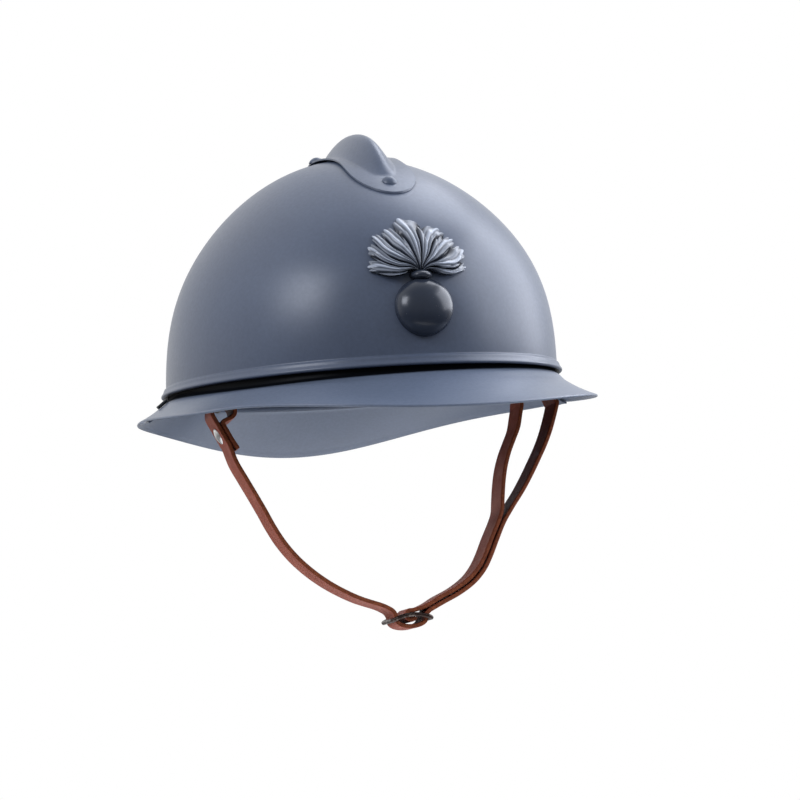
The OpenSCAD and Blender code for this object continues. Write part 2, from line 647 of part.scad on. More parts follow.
// Points of a smooth curve through the given points, without the last one
function curve(p, n) = [for (i = [0:len(p) - 2], k = [0:n - 1])
  let (a = p[max(0, i - 1)], b = p[i], c = p[i + 1], d = p[min(len(p) - 1, i + 2)], t = k / n)
  0.5 * (2 * b + (c - a) * t + (2 * a - 5 * b + 4 * c - d) * t * t + (3 * b - a - 3 * c + d) * t * t * t)];
// Points of a bend between two ends and their handles, without the last one
function sweep(a, b, c, d, n) = [for (k = [0:n - 1]) let (t = k / n, u = 1 - t)
  a * u * u * u + b * 3 * t * u * u + c * 3 * t * t * u + d * t * t * t];
tail_end = hang([[-72.2, -32.8], [-73, -30.9]]);
tail = concat(sweep(tail_end[0], tail_end[1], inner_stud + 6.5 * along, inner_stud + 3.8 * along, 5),
  sweep(inner_stud + 3.8 * along, inner_stud + along, inner_stud - along, inner_stud - 3.6 * along, 3),
  sweep(inner_stud - 3.5 * along, inner_stud - 6.4 * along, right_mid + [right_r, -4.2], right_mid + [right_r, 0], 8));
right_crown = arc(right_mid, right_r, 0, 170 + stud_lean, 16);
near_run = concat([right_mid - aside * right_r + along * 0.5, stud_at, stud_at + 4.4 * along, stud_at + 6.4 * along],
  hang([[-73.4, -38.8], [-69.6, -46.5], [-65.7, -54.2], [-61.9, -61.9], [-58.3, -69.6], [-54, -77.3],
    [-48.3, -84.9], [-41.5, -91.7], [-34.3, -97.4], [-27, -102], [-19.6, -105.8]]),
  [[slider_x - end_bar - 4.2, end_low + 7.5], [slider_x - end_bar - 0.9, end_low + 5.8]]);
loose_bend = concat(
  sweep([slider_x - end_bar - 0.9, end_low + 5.8], [slider_x - end_bar + 1.4, end_low + 4.6],
    [slider_x - end_bar + wrap, end_low + 3], [slider_x - end_bar + wrap, end_low], 5),
  [for (i = [0:12]) [slider_x + (end_bar - wrap) * cos(180 + 15 * i), end_low + loose_drop * sin(180 + 15 * i)]],
  sweep([slider_x + end_bar - wrap, end_low + 0.3], [slider_x + end_bar - wrap, end_low + 1.6],
    [slider_x + end_bar - 1.3, end_low + 3], [slider_x + end_bar + 0.4, end_low + 3.9], 4));
far_run = concat([[slider_x + end_bar + 0.4, end_low + 3.9]],
  hang([[19.4, -110], [28, -106.2], [35.5, -101.6], [41, -96.2], [45, -90], [49, -82.3], [53.3, -74.4], [58.6, -67.1],
    [64.5, -59.7], [69.7, -52.2], [74.5, -44.6], [79, -37], [82.7, -29.3]]));
left_crown = arc([bar[0], crown_z0 - left_r], left_r, 0, 180, 12);
return_run = concat(
  hang([[67.4, -22.6], [65.6, -29], [62.6, -35], [59.6, -41], [57, -48], [55.2, -55.3], [53.9, -62.9], [53, -68.5],
    [51.1, -73], [46.7, -81], [42.7, -88.7], [38.9, -94.5], [33.9, -99.5], [26.8, -103.9], [18.3, -107.6]]),
  [[slider_x + 9.6, bar_drop + 4.4], [slider_x + 4.6, bar_drop + 2.7]]);
eye = slider_bar + 0.2 + strap_t / 2;
end_loop = arc([slider_x, bar_drop], eye, 75, 330, 10);
strap_line = concat(tail, right_crown, curve(near_run, 3), loose_bend, curve(far_run, 3),
  left_crown, curve(return_run, 3), end_loop);

// The band of a thickness along a line
function side_of(line, i) = let (a = line[max(0, i - 1)], b = line[min(len(line) - 1, i + 1)], d = (b - a) / norm(b - a))
  [-d[1], d[0]];
function ribbon(line, t) = concat([for (i = [0:len(line) - 1]) line[i] + side_of(line, i) * t / 2],
  [for (i = [len(line) - 1:-1:0]) line[i] - side_of(line, i) * t / 2]);

module stud_place() {
  translate([stud_at[0], 0, stud_at[1]]) rotate([0, -90 - stud_lean, 0]) children();
}
shank_d = 3;
module chin_strap() {
  strap_frame() color(tan_leather) difference() {
    rotate([90, 0, 0]) linear_extrude(strap_w, center = true) polygon(ribbon(strap_line, strap_t));
    stud_place() cylinder(d = shank_d + 0.2, h = 12, center = true, $fn = 32);
  }
}

// Strap rivet: low domed head outside, shank through both layers, flat head inside
module strap_rivet() {
  rise = 1.1;
  ball = (pow(stud_d / 2, 2) + rise * rise) / (2 * rise);
  strap_frame() stud_place() color(nickel) {
    translate([0, 0, strap_t / 2 + 0.15]) intersection() {
      translate([0, 0, rise - ball]) sphere(r = ball, $fn = 64);
      cylinder(d = stud_d + 1, h = rise + 1, $fn = 48);
    }
    translate([0, 0, -layer - strap_t / 2 - 0.3]) cylinder(d = shank_d, h = layer + strap_t + 0.6, $fn = 32);
    translate([0, 0, -layer - strap_t / 2 - 0.15 - 0.9]) cylinder(d = stud_d - 1.5, h = 0.9, $fn = 48);
  }
}

// Slider: a bowed frame with two end bars and a middle bar
module strap_slider() {
  half = strap_w / 2 + 1 + slider_bar;
  ends = end_bar + 1.3;
  side_line = concat(curve([[slider_x - ends, end_low - 0.4], [slider_x - end_bar, end_low],
    [slider_x - end_bar / 2, bar_drop - 0.3], [slider_x, bar_drop], [slider_x + end_bar / 2, bar_drop - 0.3],
    [slider_x + end_bar, end_low], [slider_x + ends, end_low - 0.4]], 4), [[slider_x + ends, end_low - 0.4]]);
  strap_frame() color(iron) {
    for (p = [[-end_bar, end_low], [0, bar_drop], [end_bar, end_low]])
      translate([slider_x + p[0], 0, p[1]]) rotate([90, 0, 0])
        cylinder(r = slider_bar, h = 2 * half, center = true, $fn = 32);
    for (y = [-1, 1])
      translate([0, y * half, 0]) rotate([90, 0, 0])
        linear_extrude(2 * slider_bar, center = true) polygon(ribbon(side_line, 2.5 * slider_bar));
  }
}

bowl();
visor();
neck_guard();
seam_clip_right();
seam_clip_left();
comb();
comb_rivets();
badge();
badge_prongs();
spacer_front();
spacer_rear();
spacer_right();
spacer_left();
felt_band();
liner();
liner_lace();
liner_clips();
lug_rivet_right();
lug_rivet_left();
lug_right();
lug_left();
bail_right();
bail_left();
chin_strap();
strap_rivet();
strap_slider();
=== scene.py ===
import math
import bpy
import numpy as np
from mathutils import Matrix, Vector


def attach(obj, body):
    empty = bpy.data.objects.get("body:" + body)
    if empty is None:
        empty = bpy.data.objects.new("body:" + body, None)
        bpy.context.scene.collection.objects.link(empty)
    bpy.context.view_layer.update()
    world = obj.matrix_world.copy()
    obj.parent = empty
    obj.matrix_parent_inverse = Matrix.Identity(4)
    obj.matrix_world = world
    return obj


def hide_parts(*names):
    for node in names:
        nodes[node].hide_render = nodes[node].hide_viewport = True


# Steel helmet with a comb, a brim, a stamped badge, a leather liner and a chin strap. Sizes are
# in millimetres until a mesh is made: x to the wearer's left, -y forward, z up from the rim.

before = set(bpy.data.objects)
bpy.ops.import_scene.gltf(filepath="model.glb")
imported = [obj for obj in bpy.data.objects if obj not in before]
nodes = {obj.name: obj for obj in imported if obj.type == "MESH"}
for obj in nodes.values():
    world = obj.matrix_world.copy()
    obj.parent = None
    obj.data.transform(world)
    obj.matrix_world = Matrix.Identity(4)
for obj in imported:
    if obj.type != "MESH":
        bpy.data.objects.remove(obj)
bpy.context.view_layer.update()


# Points and meshes

def smoothStep(x):
    # 3t^2 - 2t^3 with t = x held between 0 and 1
    t = np.clip(x, 0, 1)
    return t * t * (3 - 2 * t)


def evenly(line, count):
    # count points at equal distances along a line of points
    lengths = np.linalg.norm(np.diff(line, axis=0), axis=1)
    passed = np.concatenate([[0], np.cumsum(lengths)])
    at = np.linspace(0, passed[-1], count)
    return np.stack([np.interp(at, passed, line[:, k]) for k in range(line.shape[1])], -1)


def throughPoints(points, count, steps=24):
    # count evenly spaced points of the Catmull-Rom curve through the given points
    p = np.asarray(points, float)
    padded = np.vstack([2 * p[0] - p[1], p, 2 * p[-1] - p[-2]])
    a, b, c, d = (padded[k:len(p) - 1 + k, None] for k in range(4))
    t = np.linspace(0, 1, steps, endpoint=False)[:, None]
    line = 0.5 * (2 * b + (c - a) * t + (2 * a - 5 * b + 4 * c - d) * t ** 2
                  + (3 * b - a - 3 * c + d) * t ** 3)
    return evenly(np.vstack([line.reshape(-1, p.shape[1]), p[-1:]]), count)


def circle(count):
    # angles of a whole turn, without its end
    return np.linspace(0, 2 * np.pi, count, endpoint=False)


def gridPart(grid, wrapRows=False, wrapCols=False, caps=False, poles=(None, None), flip=False,
             values=None):
    # faces between neighbours of a grid of points; caps close its first and last row with one
    # face, poles close them to a point, and flip turns every face round
    rows, cols = grid.shape[:2]
    points = grid.reshape(-1, 3)
    i = np.arange(rows if wrapRows else rows - 1)[:, None]
    j = np.arange(cols if wrapCols else cols - 1)[None, :]
    below, right = (i + 1) % rows, (j + 1) % cols
    corners = [i * cols + j, i * cols + right, below * cols + right, below * cols + j]
    faces = np.stack(corners, -1).reshape(-1, 4).tolist()
    first, last = list(range(cols)), list(range((rows - 1) * cols, rows * cols))
    if caps:
        faces += [first[::-1], last]
    for pole, ring in ((poles[0], first[::-1]), (poles[1], last)):
        if pole is not None:
            tip = len(points)
            points = np.vstack([points, pole])
            faces += [[tip, a, b] for a, b in zip(ring, ring[1:] + ring[:1])]
    if flip:
        faces = [face[::-1] for face in faces]
    return points, faces, values or {}


def makePiece(name, parts, material, node, body="shell", sharp=None):
    # one object that stands for a CAD node, made of parts with points, faces and point values
    points, faces, start = [], [], 0
    for part in parts:
        points.append(part[0])
        faces += [[start + k for k in face] for face in part[1]]
        start += len(part[0])
    mesh = bpy.data.meshes.new(name)
    mesh.from_pydata((np.vstack(points) * 0.001).tolist(), [], faces)
    for key in parts[0][2]:
        values = np.concatenate([np.resize(part[2][key], len(part[0])) for part in parts])
        layer = mesh.attributes.new(key, "FLOAT", "POINT")
        layer.data.foreach_set("value", values.astype(np.float32))
    mesh.polygons.foreach_set("use_smooth", np.ones(len(mesh.polygons), bool))
    mesh.materials.append(material)
    mesh.update()
    piece = bpy.data.objects.new(name, mesh)
    bpy.context.scene.collection.objects.link(piece)
    if sharp:
        mesh.set_sharp_from_angle(angle=math.radians(sharp))
    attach(piece, body)
    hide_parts(node)
    return piece


# Shell of the bowl: its half axes shrink with height, and it swells forward at mid height

shell = {"halfWidth": 95.0, "halfLength": 113.25, "height": 112.5, "bulge": 0.022,
         "swell": 3.9, "sheet": 0.8}


def fullness(t):
    # 1 + bulge sin^2(pi t), with t the height as a share of the dome's
    return 1 + shell["bulge"] * np.sin(np.pi * t) ** 2


def sectionShare(z):
    # sqrt(1 - t^2) times the fullness
    t = np.clip(z / shell["height"], 0, 1)
    return np.sqrt(np.maximum(0, 1 - t * t)) * fullness(t)


def swellAt(z):
    # -swell sin(pi t)
    return -shell["swell"] * np.sin(np.pi * np.clip(z / shell["height"], 0, 1))


def wallPoint(angle, z, out):
    # ((a share + out) sin angle, -(b share + out) cos angle + swell, z)
    share = sectionShare(z)
    x = (shell["halfWidth"] * share + out) * np.sin(angle)
    y = -(shell["halfLength"] * share + out) * np.cos(angle) + swellAt(z)
    return np.stack(np.broadcast_arrays(x, y, z), -1)


def crownHeight(x, y, grow, rounds=9):
    # height of the dome, grown outwards, over a point of the plan; each round comes closer
    z = np.full(np.broadcast(x, y, grow).shape, shell["height"])
    for _ in range(rounds):
        full = fullness(np.clip(z / shell["height"], 0, 1))
        across = x / (shell["halfWidth"] + grow)
        along = (y - swellAt(z)) / (shell["halfLength"] + grow)
        plan = (across ** 2 + along ** 2) / full ** 2
        z = (shell["height"] + grow) * np.sqrt(np.maximum(0, 1 - plan))
    return z


# Materials

patternMiddle = {"From Min": 0.3, "From Max": 0.7}  # where most values of a noise pattern lie
# a mix node blends colours: its inputs 0, 6 and 7 are the share and the two colours
mixed = {"output": 2, "data_type": "RGBA"}


def colour(text):
    # linear RGBA of an sRGB hex colour: ((v + 0.055) / 1.055)^2.4, or v / 12.92 where it's dark
    parts = [int(text[k:k + 2], 16) / 255 for k in (1, 3, 5)]
    return [v / 12.92 if v <= 0.04045 else ((v + 0.055) / 1.055) ** 2.4 for v in parts] + [1]


def setInputs(tree, node, inputs):
    # each input takes the socket, the number or the hex colour that is given for it
    for key, value in inputs.items():
        if isinstance(value, bpy.types.NodeSocket):
            tree.links.new(value, node.inputs[key])
        else:
            node.inputs[key].default_value = colour(value) if isinstance(value, str) else value


def addNode(tree, kind, inputs, output=0, **settings):
    # one output of a new shader node with those settings and inputs
    node = tree.nodes.new("ShaderNode" + kind)
    for key, value in settings.items():
        setattr(node, key, value)
    setInputs(tree, node, inputs)
    return node.outputs[output]


def newMaterial(name):
    # a material, its node tree, its shader, and the place of each point on the object
    material = bpy.data.materials.new(name)
    material.use_nodes = True
    tree = material.node_tree
    return material, tree, tree.nodes["Principled BSDF"], addNode(tree, "TexCoord", {}, "Object")


def paintedSteel(name, main, light, rough, orangePeel):
    # grey-blue enamel over pressed steel: near even, faintly mottled, with a fine orange-peel
    # skin; painted shade lies dark and dull in the crevices, and the crests are painted paler,
    # partly rubbed paint and partly painted highlight
    material, tree, shader, place = newMaterial(name)
    cloud, speck, peel, dents = (
        addNode(tree, "TexNoise", {"Vector": place, "Scale": 1000 / size, "Detail": detail,
                                   "Roughness": 0.55})
        for size, detail in ((55, 4), (1.6, 2), (2.4, 2), (26, 2)))
    # two point values: one paints crests paler, partly rubbed paint and partly painted highlight;
    # the other paints shade into crevices
    rubbedAndHighlight, creviceShade = (addNode(tree, "Attribute", {}, "Fac", attribute_name=key)
                       for key in ("rubbedAndHighlight", "creviceShade"))
    mottle = addNode(tree, "MapRange", {"Value": cloud, **patternMiddle})
    specks = addNode(tree, "MapRange", {"Value": speck, **patternMiddle, "To Max": 0.12})
    tone = main
    for share, over in ((mottle, light), (specks, "#20252c"), (rubbedAndHighlight, "#a4adbe"),
                        (creviceShade, "#0a0c10")):
        tone = addNode(tree, "Mix", {0: share, 6: tone, 7: over}, **mixed)
    # where shade is painted into the crevices, the shine is taken away too
    shine = addNode(tree, "MapRange", {"Value": creviceShade, "To Min": 0.5, "To Max": 0.05})
    broad = addNode(tree, "MapRange", {"Value": cloud, **patternMiddle, "To Min": rough - 0.03,
                                       "To Max": rough + 0.03})
    fine = addNode(tree, "MapRange", {"Value": speck, **patternMiddle, "To Min": -0.02,
                                      "To Max": 0.02})
    gloss = addNode(tree, "Math", {0: broad, 1: fine}, operation="ADD")
    skin = addNode(tree, "Bump", {"Height": peel, "Distance": orangePeel / 1000})
    skin = addNode(tree, "Bump", {"Height": dents, "Distance": 6 * orangePeel / 1000,
                                  "Normal": skin})
    setInputs(tree, shader, {"Base Color": tone, "Specular IOR Level": shine,
                             "Roughness": gloss, "Normal": skin})
    return material


def blackenedIron(name, dark, worn, rough, metal):
    # blackened iron wire and plate: dull black scale, rubbed to grey metal in small patches
    material, tree, shader, place = newMaterial(name)
    patches = addNode(tree, "TexNoise", {"Vector": place, "Scale": 1000 / 3.2, "Detail": 5,
                                         "Roughness": 0.65})
    scale = addNode(tree, "TexNoise", {"Vector": place, "Scale": 1000 / 0.9, "Detail": 3,
                                       "Roughness": 0.55})
    share = addNode(tree, "MapRange", {"Value": patches, "From Min": 0.52, "From Max": 0.66})
    tone = addNode(tree, "Mix", {0: share, 6: dark, 7: worn}, **mixed)
    gloss = addNode(tree, "MapRange", {"Value": patches, **patternMiddle,
                                       "To Min": rough + 0.08, "To Max": rough - 0.08})
    skin = addNode(tree, "Bump", {"Height": scale, "Distance": 0.03 / 1000})
    setInputs(tree, shader, {"Base Color": tone, "Metallic": metal, "Roughness": gloss,
                             "Normal": skin})
    return material


def rolledAluminium():
    # rolled aluminium sheet: bright, dulled by oxide, with faint lines along the roll, drawn
    # coarser than the real ones so that they show
    material, tree, shader, place = newMaterial("rolled_aluminium")
    drawn = addNode(tree, "Mapping", {"Vector": place, "Scale": (0.15, 0.15, 4.0)})
    lines = addNode(tree, "TexNoise", {"Vector": drawn, "Scale": 1000 / 2.5, "Detail": 3,
                                       "Roughness": 0.6})
    film = addNode(tree, "TexNoise", {"Vector": place, "Scale": 1000 / 9, "Detail": 4,
                                      "Roughness": 0.55})
    share = addNode(tree, "MapRange", {"Value": film, **patternMiddle})
    tone = addNode(tree, "Mix", {0: share, 6: "#a9abad", 7: "#8d8f90"}, **mixed)
    gloss = addNode(tree, "MapRange", {"Value": film, **patternMiddle, "To Min": 0.32,
                                       "To Max": 0.48})
    skin = addNode(tree, "Bump", {"Height": lines, "Distance": 0.02 / 1000})
    setInputs(tree, shader, {"Base Color": tone, "Metallic": 1.0, "Roughness": gloss,
                             "Normal": skin})
    return material


def polishedAluminium():
    # polished aluminium of the strap's rivet: pale, nearly bright, with handling marks, drawn
    # at 0.5 mm so that they show
    material, tree, shader, place = newMaterial("polished_aluminium")
    film = addNode(tree, "TexNoise", {"Vector": place, "Scale": 1000 / 2.2, "Detail": 3,
                                      "Roughness": 0.55})
    marks = addNode(tree, "TexNoise", {"Vector": place, "Scale": 1000 / 0.5, "Detail": 2,
                                       "Roughness": 0.55})
    share = addNode(tree, "MapRange", {"Value": film, **patternMiddle})
    tone = addNode(tree, "Mix", {0: share, 6: "#e9eaea", 7: "#d6d7d6"}, **mixed)
    gloss = addNode(tree, "MapRange", {"Value": film, **patternMiddle, "To Min": 0.3,
                                       "To Max": 0.4})
    skin = addNode(tree, "Bump", {"Height": marks, "Distance": 0.01 / 1000})
    setInputs(tree, shader, {"Base Color": tone, "Metallic": 1.0, "Roughness": gloss,
                             "Normal": skin})
    return material


def harnessLeather():
    # vegetable-tanned strap leather: smooth grain face, fibrous flesh face, waxed cut edges; its
    # pores and fibres are drawn at 0.7 and 0.9 mm, coarser than the real ones, so that they show
    material, tree, shader, place = newMaterial("harness_leather")
    face = addNode(tree, "Attribute", {}, "Fac", attribute_name="grainFace")
    edge = addNode(tree, "Attribute", {}, "Fac", attribute_name="cutEdge")
    pores = addNode(tree, "TexNoise", {"Vector": place, "Scale": 1000 / 0.7, "Detail": 3,
                                       "Roughness": 0.6})
    cloud = addNode(tree, "TexNoise", {"Vector": place, "Scale": 1000 / 11, "Detail": 5,
                                       "Roughness": 0.6})
    drawn = addNode(tree, "Mapping", {"Vector": place, "Scale": (0.5, 2.6, 0.5)})
    fibre = addNode(tree, "TexNoise", {"Vector": drawn, "Scale": 1000 / 0.9, "Detail": 4,
                                       "Roughness": 0.7})
    share = addNode(tree, "MapRange", {"Value": cloud, **patternMiddle})
    grain = addNode(tree, "Mix", {0: share, 6: "#a8604f", 7: "#8f4a3a"}, **mixed)
    share = addNode(tree, "MapRange", {"Value": pores, **patternMiddle, "To Max": 0.35})
    grain = addNode(tree, "Mix", {0: share, 6: grain, 7: "#74392b"}, **mixed)
    share = addNode(tree, "MapRange", {"Value": fibre, **patternMiddle})
    # the flesh face: its own fibrous brown, painted darker as painted shade
    flesh = addNode(tree, "Mix", {0: share, 6: "#74301d", 7: "#43180f"}, **mixed)
    cut = addNode(tree, "Mix", {0: share, 6: "#5e2f1d", 7: "#87492c"}, **mixed)
    tone = addNode(tree, "Mix", {0: face, 6: flesh, 7: grain}, **mixed)
    tone = addNode(tree, "Mix", {0: edge, 6: tone, 7: cut}, **mixed)
    broad = addNode(tree, "MapRange", {"Value": cloud, **patternMiddle, "To Min": 0.5,
                                       "To Max": 0.62})
    gloss = addNode(tree, "Math", {0: edge, 1: 0.08, 2: broad}, operation="MULTIPLY_ADD")
    relief = addNode(tree, "Math", {0: pores, 1: face, 2: fibre}, operation="MULTIPLY_ADD")
    skin = addNode(tree, "Bump", {"Height": relief, "Distance": 0.12 / 1000})
    setInputs(tree, shader, {"Base Color": tone, "Specular IOR Level": 0.16,
                             "Roughness": gloss, "Normal": skin})
    return material


def linerLeather():
    # blackened sheepskin of the liner: supple, crinkled, greyed where it rubs
    material, tree, shader, place = newMaterial("liner_leather")
    cells = addNode(tree, "TexVoronoi", {"Vector": place, "Scale": 1000 / 2.2}, "Distance",
                    feature="DISTANCE_TO_EDGE")
    crinkle = addNode(tree, "TexNoise", {"Vector": place, "Scale": 1000 / 7, "Detail": 5,
                                         "Roughness": 0.6})
    share = addNode(tree, "MapRange", {"Value": crinkle, **patternMiddle})
    tone = addNode(tree, "Mix", {0: share, 6: "#2a2321", 7: "#40342e"}, **mixed)
    gloss = addNode(tree, "MapRange", {"Value": crinkle, **patternMiddle, "To Min": 0.44,
                                       "To Max": 0.6})
    grain = addNode(tree, "MapRange", {"Value": cells, "From Min": 0.0, "From Max": 0.16})
    skin = addNode(tree, "Bump", {"Height": grain, "Distance": 0.1 / 1000})
    skin = addNode(tree, "Bump", {"Height": crinkle, "Distance": 0.5 / 1000, "Normal": skin})
    setInputs(tree, shader, {"Base Color": tone, "Specular IOR Level": 0.4,
                             "Roughness": gloss, "Normal": skin})
    return material


def woolFelt():
    # pressed wool felt: matt grey fibres lying every way, with a soft sheen; the fibres are
    # drawn at 0.8 mm, much coarser than wool, so that they show
    material, tree, shader, place = newMaterial("wool_felt")
    drawn = addNode(tree, "Mapping", {"Vector": place, "Scale": (1.0, 1.0, 2.4)})
    fibre = addNode(tree, "TexNoise", {"Vector": drawn, "Scale": 1000 / 0.8, "Detail": 5,
                                       "Roughness": 0.75, "Distortion": 1.2})
    cloud = addNode(tree, "TexNoise", {"Vector": place, "Scale": 1000 / 14, "Detail": 3,
                                       "Roughness": 0.55})
    share = addNode(tree, "MapRange", {"Value": fibre, **patternMiddle})
    tone = addNode(tree, "Mix", {0: share, 6: "#6b6d70", 7: "#494b4e"}, **mixed)
    share = addNode(tree, "MapRange", {"Value": cloud, **patternMiddle, "To Max": 0.3})
    tone = addNode(tree, "Mix", {0: share, 6: tone, 7: "#5a554c"}, **mixed)
    skin = addNode(tree, "Bump", {"Height": fibre, "Distance": 0.35 / 1000})
    setInputs(tree, shader, {"Base Color": tone, "Roughness": 0.95, "Sheen Weight": 0.4,
                             "Normal": skin})
    return material


def linenCord():
    # twisted linen lace, waxed: dull straw colour, darker between its strands, with its fluff
    # drawn at 0.5 mm so that it shows
    material, tree, shader, place = newMaterial("linen_cord")
    strand = addNode(tree, "Attribute", {}, "Fac", attribute_name="strand")
    fluff = addNode(tree, "TexNoise", {"Vector": place, "Scale": 1000 / 0.5, "Detail": 4,
                                       "Roughness": 0.7})
    tone = addNode(tree, "Mix", {0: strand, 6: "#4f4536", 7: "#8f8068"}, **mixed)
    share = addNode(tree, "MapRange", {"Value": fluff, **patternMiddle, "To Max": 0.5})
    tone = addNode(tree, "Mix", {0: share, 6: tone, 7: "#6d604c"}, **mixed)
    skin = addNode(tree, "Bump", {"Height": fluff, "Distance": 0.15 / 1000})
    setInputs(tree, shader, {"Base Color": tone, "Roughness": 0.82, "Normal": skin})
    return material


shellPaint = paintedSteel("painted_steel", "#4a5468", "#505b70", rough=0.36, orangePeel=0.012)
# the brim takes the bowl's enamel painted lighter: painted light for its upturned faces
brimPaintLit = paintedSteel("painted_brim_lit", "#586377", "#606b80", rough=0.36, orangePeel=0.012)
badgePaint = paintedSteel("painted_badge", "#262c38", "#303745", rough=0.25, orangePeel=0.01)
wireIron = blackenedIron("blackened_wire", "#26221f", "#5b5752", rough=0.42, metal=0.75)
clipIron = blackenedIron("blackened_clip", "#1f2327", "#3d434a", rough=0.45, metal=0.5)
sliderIron = blackenedIron("blackened_slider", "#3a2c27", "#6f6660", rough=0.36, metal=0.7)
sheetAluminium = rolledAluminium()
rivetAluminium = polishedAluminium()
strapLeather = harnessLeather()
blackLeather = linerLeather()
felt = woolFelt()
cordLinen = linenCord()
print("materials made")


# Bowl

bowlSize = {"columns": 240, "rows": 110, "rollRows": 84, "lowest": 5.0, "highest": 89.0,
            "shadeTop": 0.5, "shadeFade": 0.6, "ventLength": 44.0, "ventWidth": 5.0,
            "ventLow": 100.0, "ventHigh": 120.0, "ventPoints": 48}
# the rolled rim from the outer wall round to the inner one: distance out, height
rollProfile = [[0, 9.5], [0, 7.5], [0, 5.6], [0.02, 4.75], [0.3, 4.35], [0.85, 4.0], [1.2, 3.4],
               [1.45, 2.6], [1.95, 1.75], [2.42, 1.05], [2.42, 0.4], [1.95, 0.0], [0.9, -0.2],
               [-0.1, -0.1], [-0.8, 0.6], [-0.8, 3.5], [-0.8, 9.5]]


def buildBowl():
    # rings down the outer wall, round the rolled rim and up the inner wall, closed at two poles
    columns, sheet, top = bowlSize["columns"], shell["sheet"], shell["height"]
    angle = circle(columns)[None, :]
    rise = np.linspace(bowlSize["highest"], bowlSize["lowest"], bowlSize["rows"])
    high = top * np.sin(np.radians(rise))[:, None]
    outer = wallPoint(angle, high, 0)
    roll = throughPoints(rollProfile, bowlSize["rollRows"])
    rim = wallPoint(angle, roll[:, 1:], roll[:, :1])
    inner = wallPoint(angle, high, -sheet)
    inner[..., 2] -= sheet * high / top
    pole = np.array([0, swellAt(top), top])
    # the turned-in half of the roll lies in the groove above the brim; shade is painted dark there
    turnedIn = np.linspace(0, 1, len(roll)) > 0.5
    paintedShade = turnedIn * smoothStep((bowlSize["shadeTop"] - roll[:, 1]) / bowlSize["shadeFade"])
    paintedShade = np.concatenate([np.zeros(len(outer)), paintedShade, np.zeros(len(inner))])
    values = {"creviceShade": np.concatenate([np.repeat(paintedShade, columns), [0, 0]])}
    part = gridPart(np.vstack([outer, rim, inner[::-1]]), wrapCols=True,
                    poles=(pole, pole - [0, 0, sheet]), flip=True, values=values)
    return makePiece("bowl_shell", [part], shellPaint, "bowl")


def cutVent(bowl):
    # the vent, a slot with round ends through the crown, cut out for good
    wide, count = bowlSize["ventWidth"], bowlSize["ventPoints"]
    turn = circle(count)
    x = wide / 2 * np.cos(turn)
    y = wide / 2 * np.sin(turn) + (bowlSize["ventLength"] - wide) / 2 * np.sign(np.sin(turn))
    grid = np.stack([np.stack([x, y, np.full(count, z)], -1)
                     for z in (bowlSize["ventLow"], bowlSize["ventHigh"])])
    points, faces, _ = gridPart(grid, wrapCols=True, caps=True)
    mesh = bpy.data.meshes.new("vent_cutter")
    mesh.from_pydata((points * 0.001).tolist(), [], faces)
    tool = bpy.data.objects.new("vent_cutter", mesh)
    bpy.context.scene.collection.objects.link(tool)
    cut = bowl.modifiers.new("vent", "BOOLEAN")
    cut.object = tool
    cut.solver = "EXACT"
    bpy.context.view_layer.update()
    evaluated = bowl.evaluated_get(bpy.context.evaluated_depsgraph_get())
    result = bpy.data.meshes.new_from_object(evaluated)
    bowl.modifiers.clear()
    bowl.data = result
    bpy.data.objects.remove(tool)


cutVent(buildBowl())
print("bowl made")


# Visor and neck guard: the brim slopes out from under the roll, hollow in profile, with a hem

brim = {"visorReach": 39.0, "napeReach": 33.0, "sideReach": 12.8, "visorDrop": 20.8,
        "napeDrop": 26.0, "sideDrop": 10.9, "flare": 0.3, "collar": 5.0, "gap": 0.2,
        "seam": 90.0, "lap": 5.0, "hem": 0.25, "foldOut": 0.7, "foldDrop": 2.7, "groove": 0.2,
        "tilt": 2.0, "lift": 1.6, "liftAt": -41.0, "liftRight": 11.0, "liftLeft": 31.0,
        "rows": 30, "collarRows": 14, "visorColumns": 201, "napeColumns": 213, "crease": 38.0}


def brimEdge(angle):
    # reach blends from the sides to the front with cos^2.4 and to the rear with (-cos)^1.6; the
    # edge is bent up by lift exp(-((angle - liftAt) / w)^2), with w liftRight or liftLeft
    front = np.maximum(0, np.cos(angle))
    rear = np.maximum(0, -np.cos(angle))
    side = brim["sideReach"]
    reach = side + (brim["visorReach"] - side) * front ** 2.4
    reach += (brim["napeReach"] - side) * rear ** 1.6
    side = brim["sideDrop"]
    drop = side + (brim["visorDrop"] - side) * (0.55 * front + 0.45 * front ** 8)
    drop += (brim["napeDrop"] - side) * rear ** 6
    off = np.degrees(angle) - brim["liftAt"]
    reachOfLift = np.where(off < 0, brim["liftRight"], brim["liftLeft"])
    return reach, brim["lift"] * np.exp(-(off / reachOfLift) ** 2) - drop


def grooveDepth(angle):
    # the groove under the roll is deepest at the wearer's right front and level at the seams
    return (brim["groove"] - brim["tilt"] * np.sin(angle)) * smoothStep((np.cos(angle) - 0.1) / 0.7)


def collarWall(points, deep):
    # one side of the collar through points of distance out and height; its foot sinks with
    # the groove, from 0.4 mm above the rim down over 2.2 mm
    wall = throughPoints(points, brim["collarRows"])[:, None]
    sunk = wall[..., 1] - deep * smoothStep((0.4 - wall[..., 1]) / 2.2)
    return np.stack([wall[..., 0] + 0 * sunk, sunk], -1)


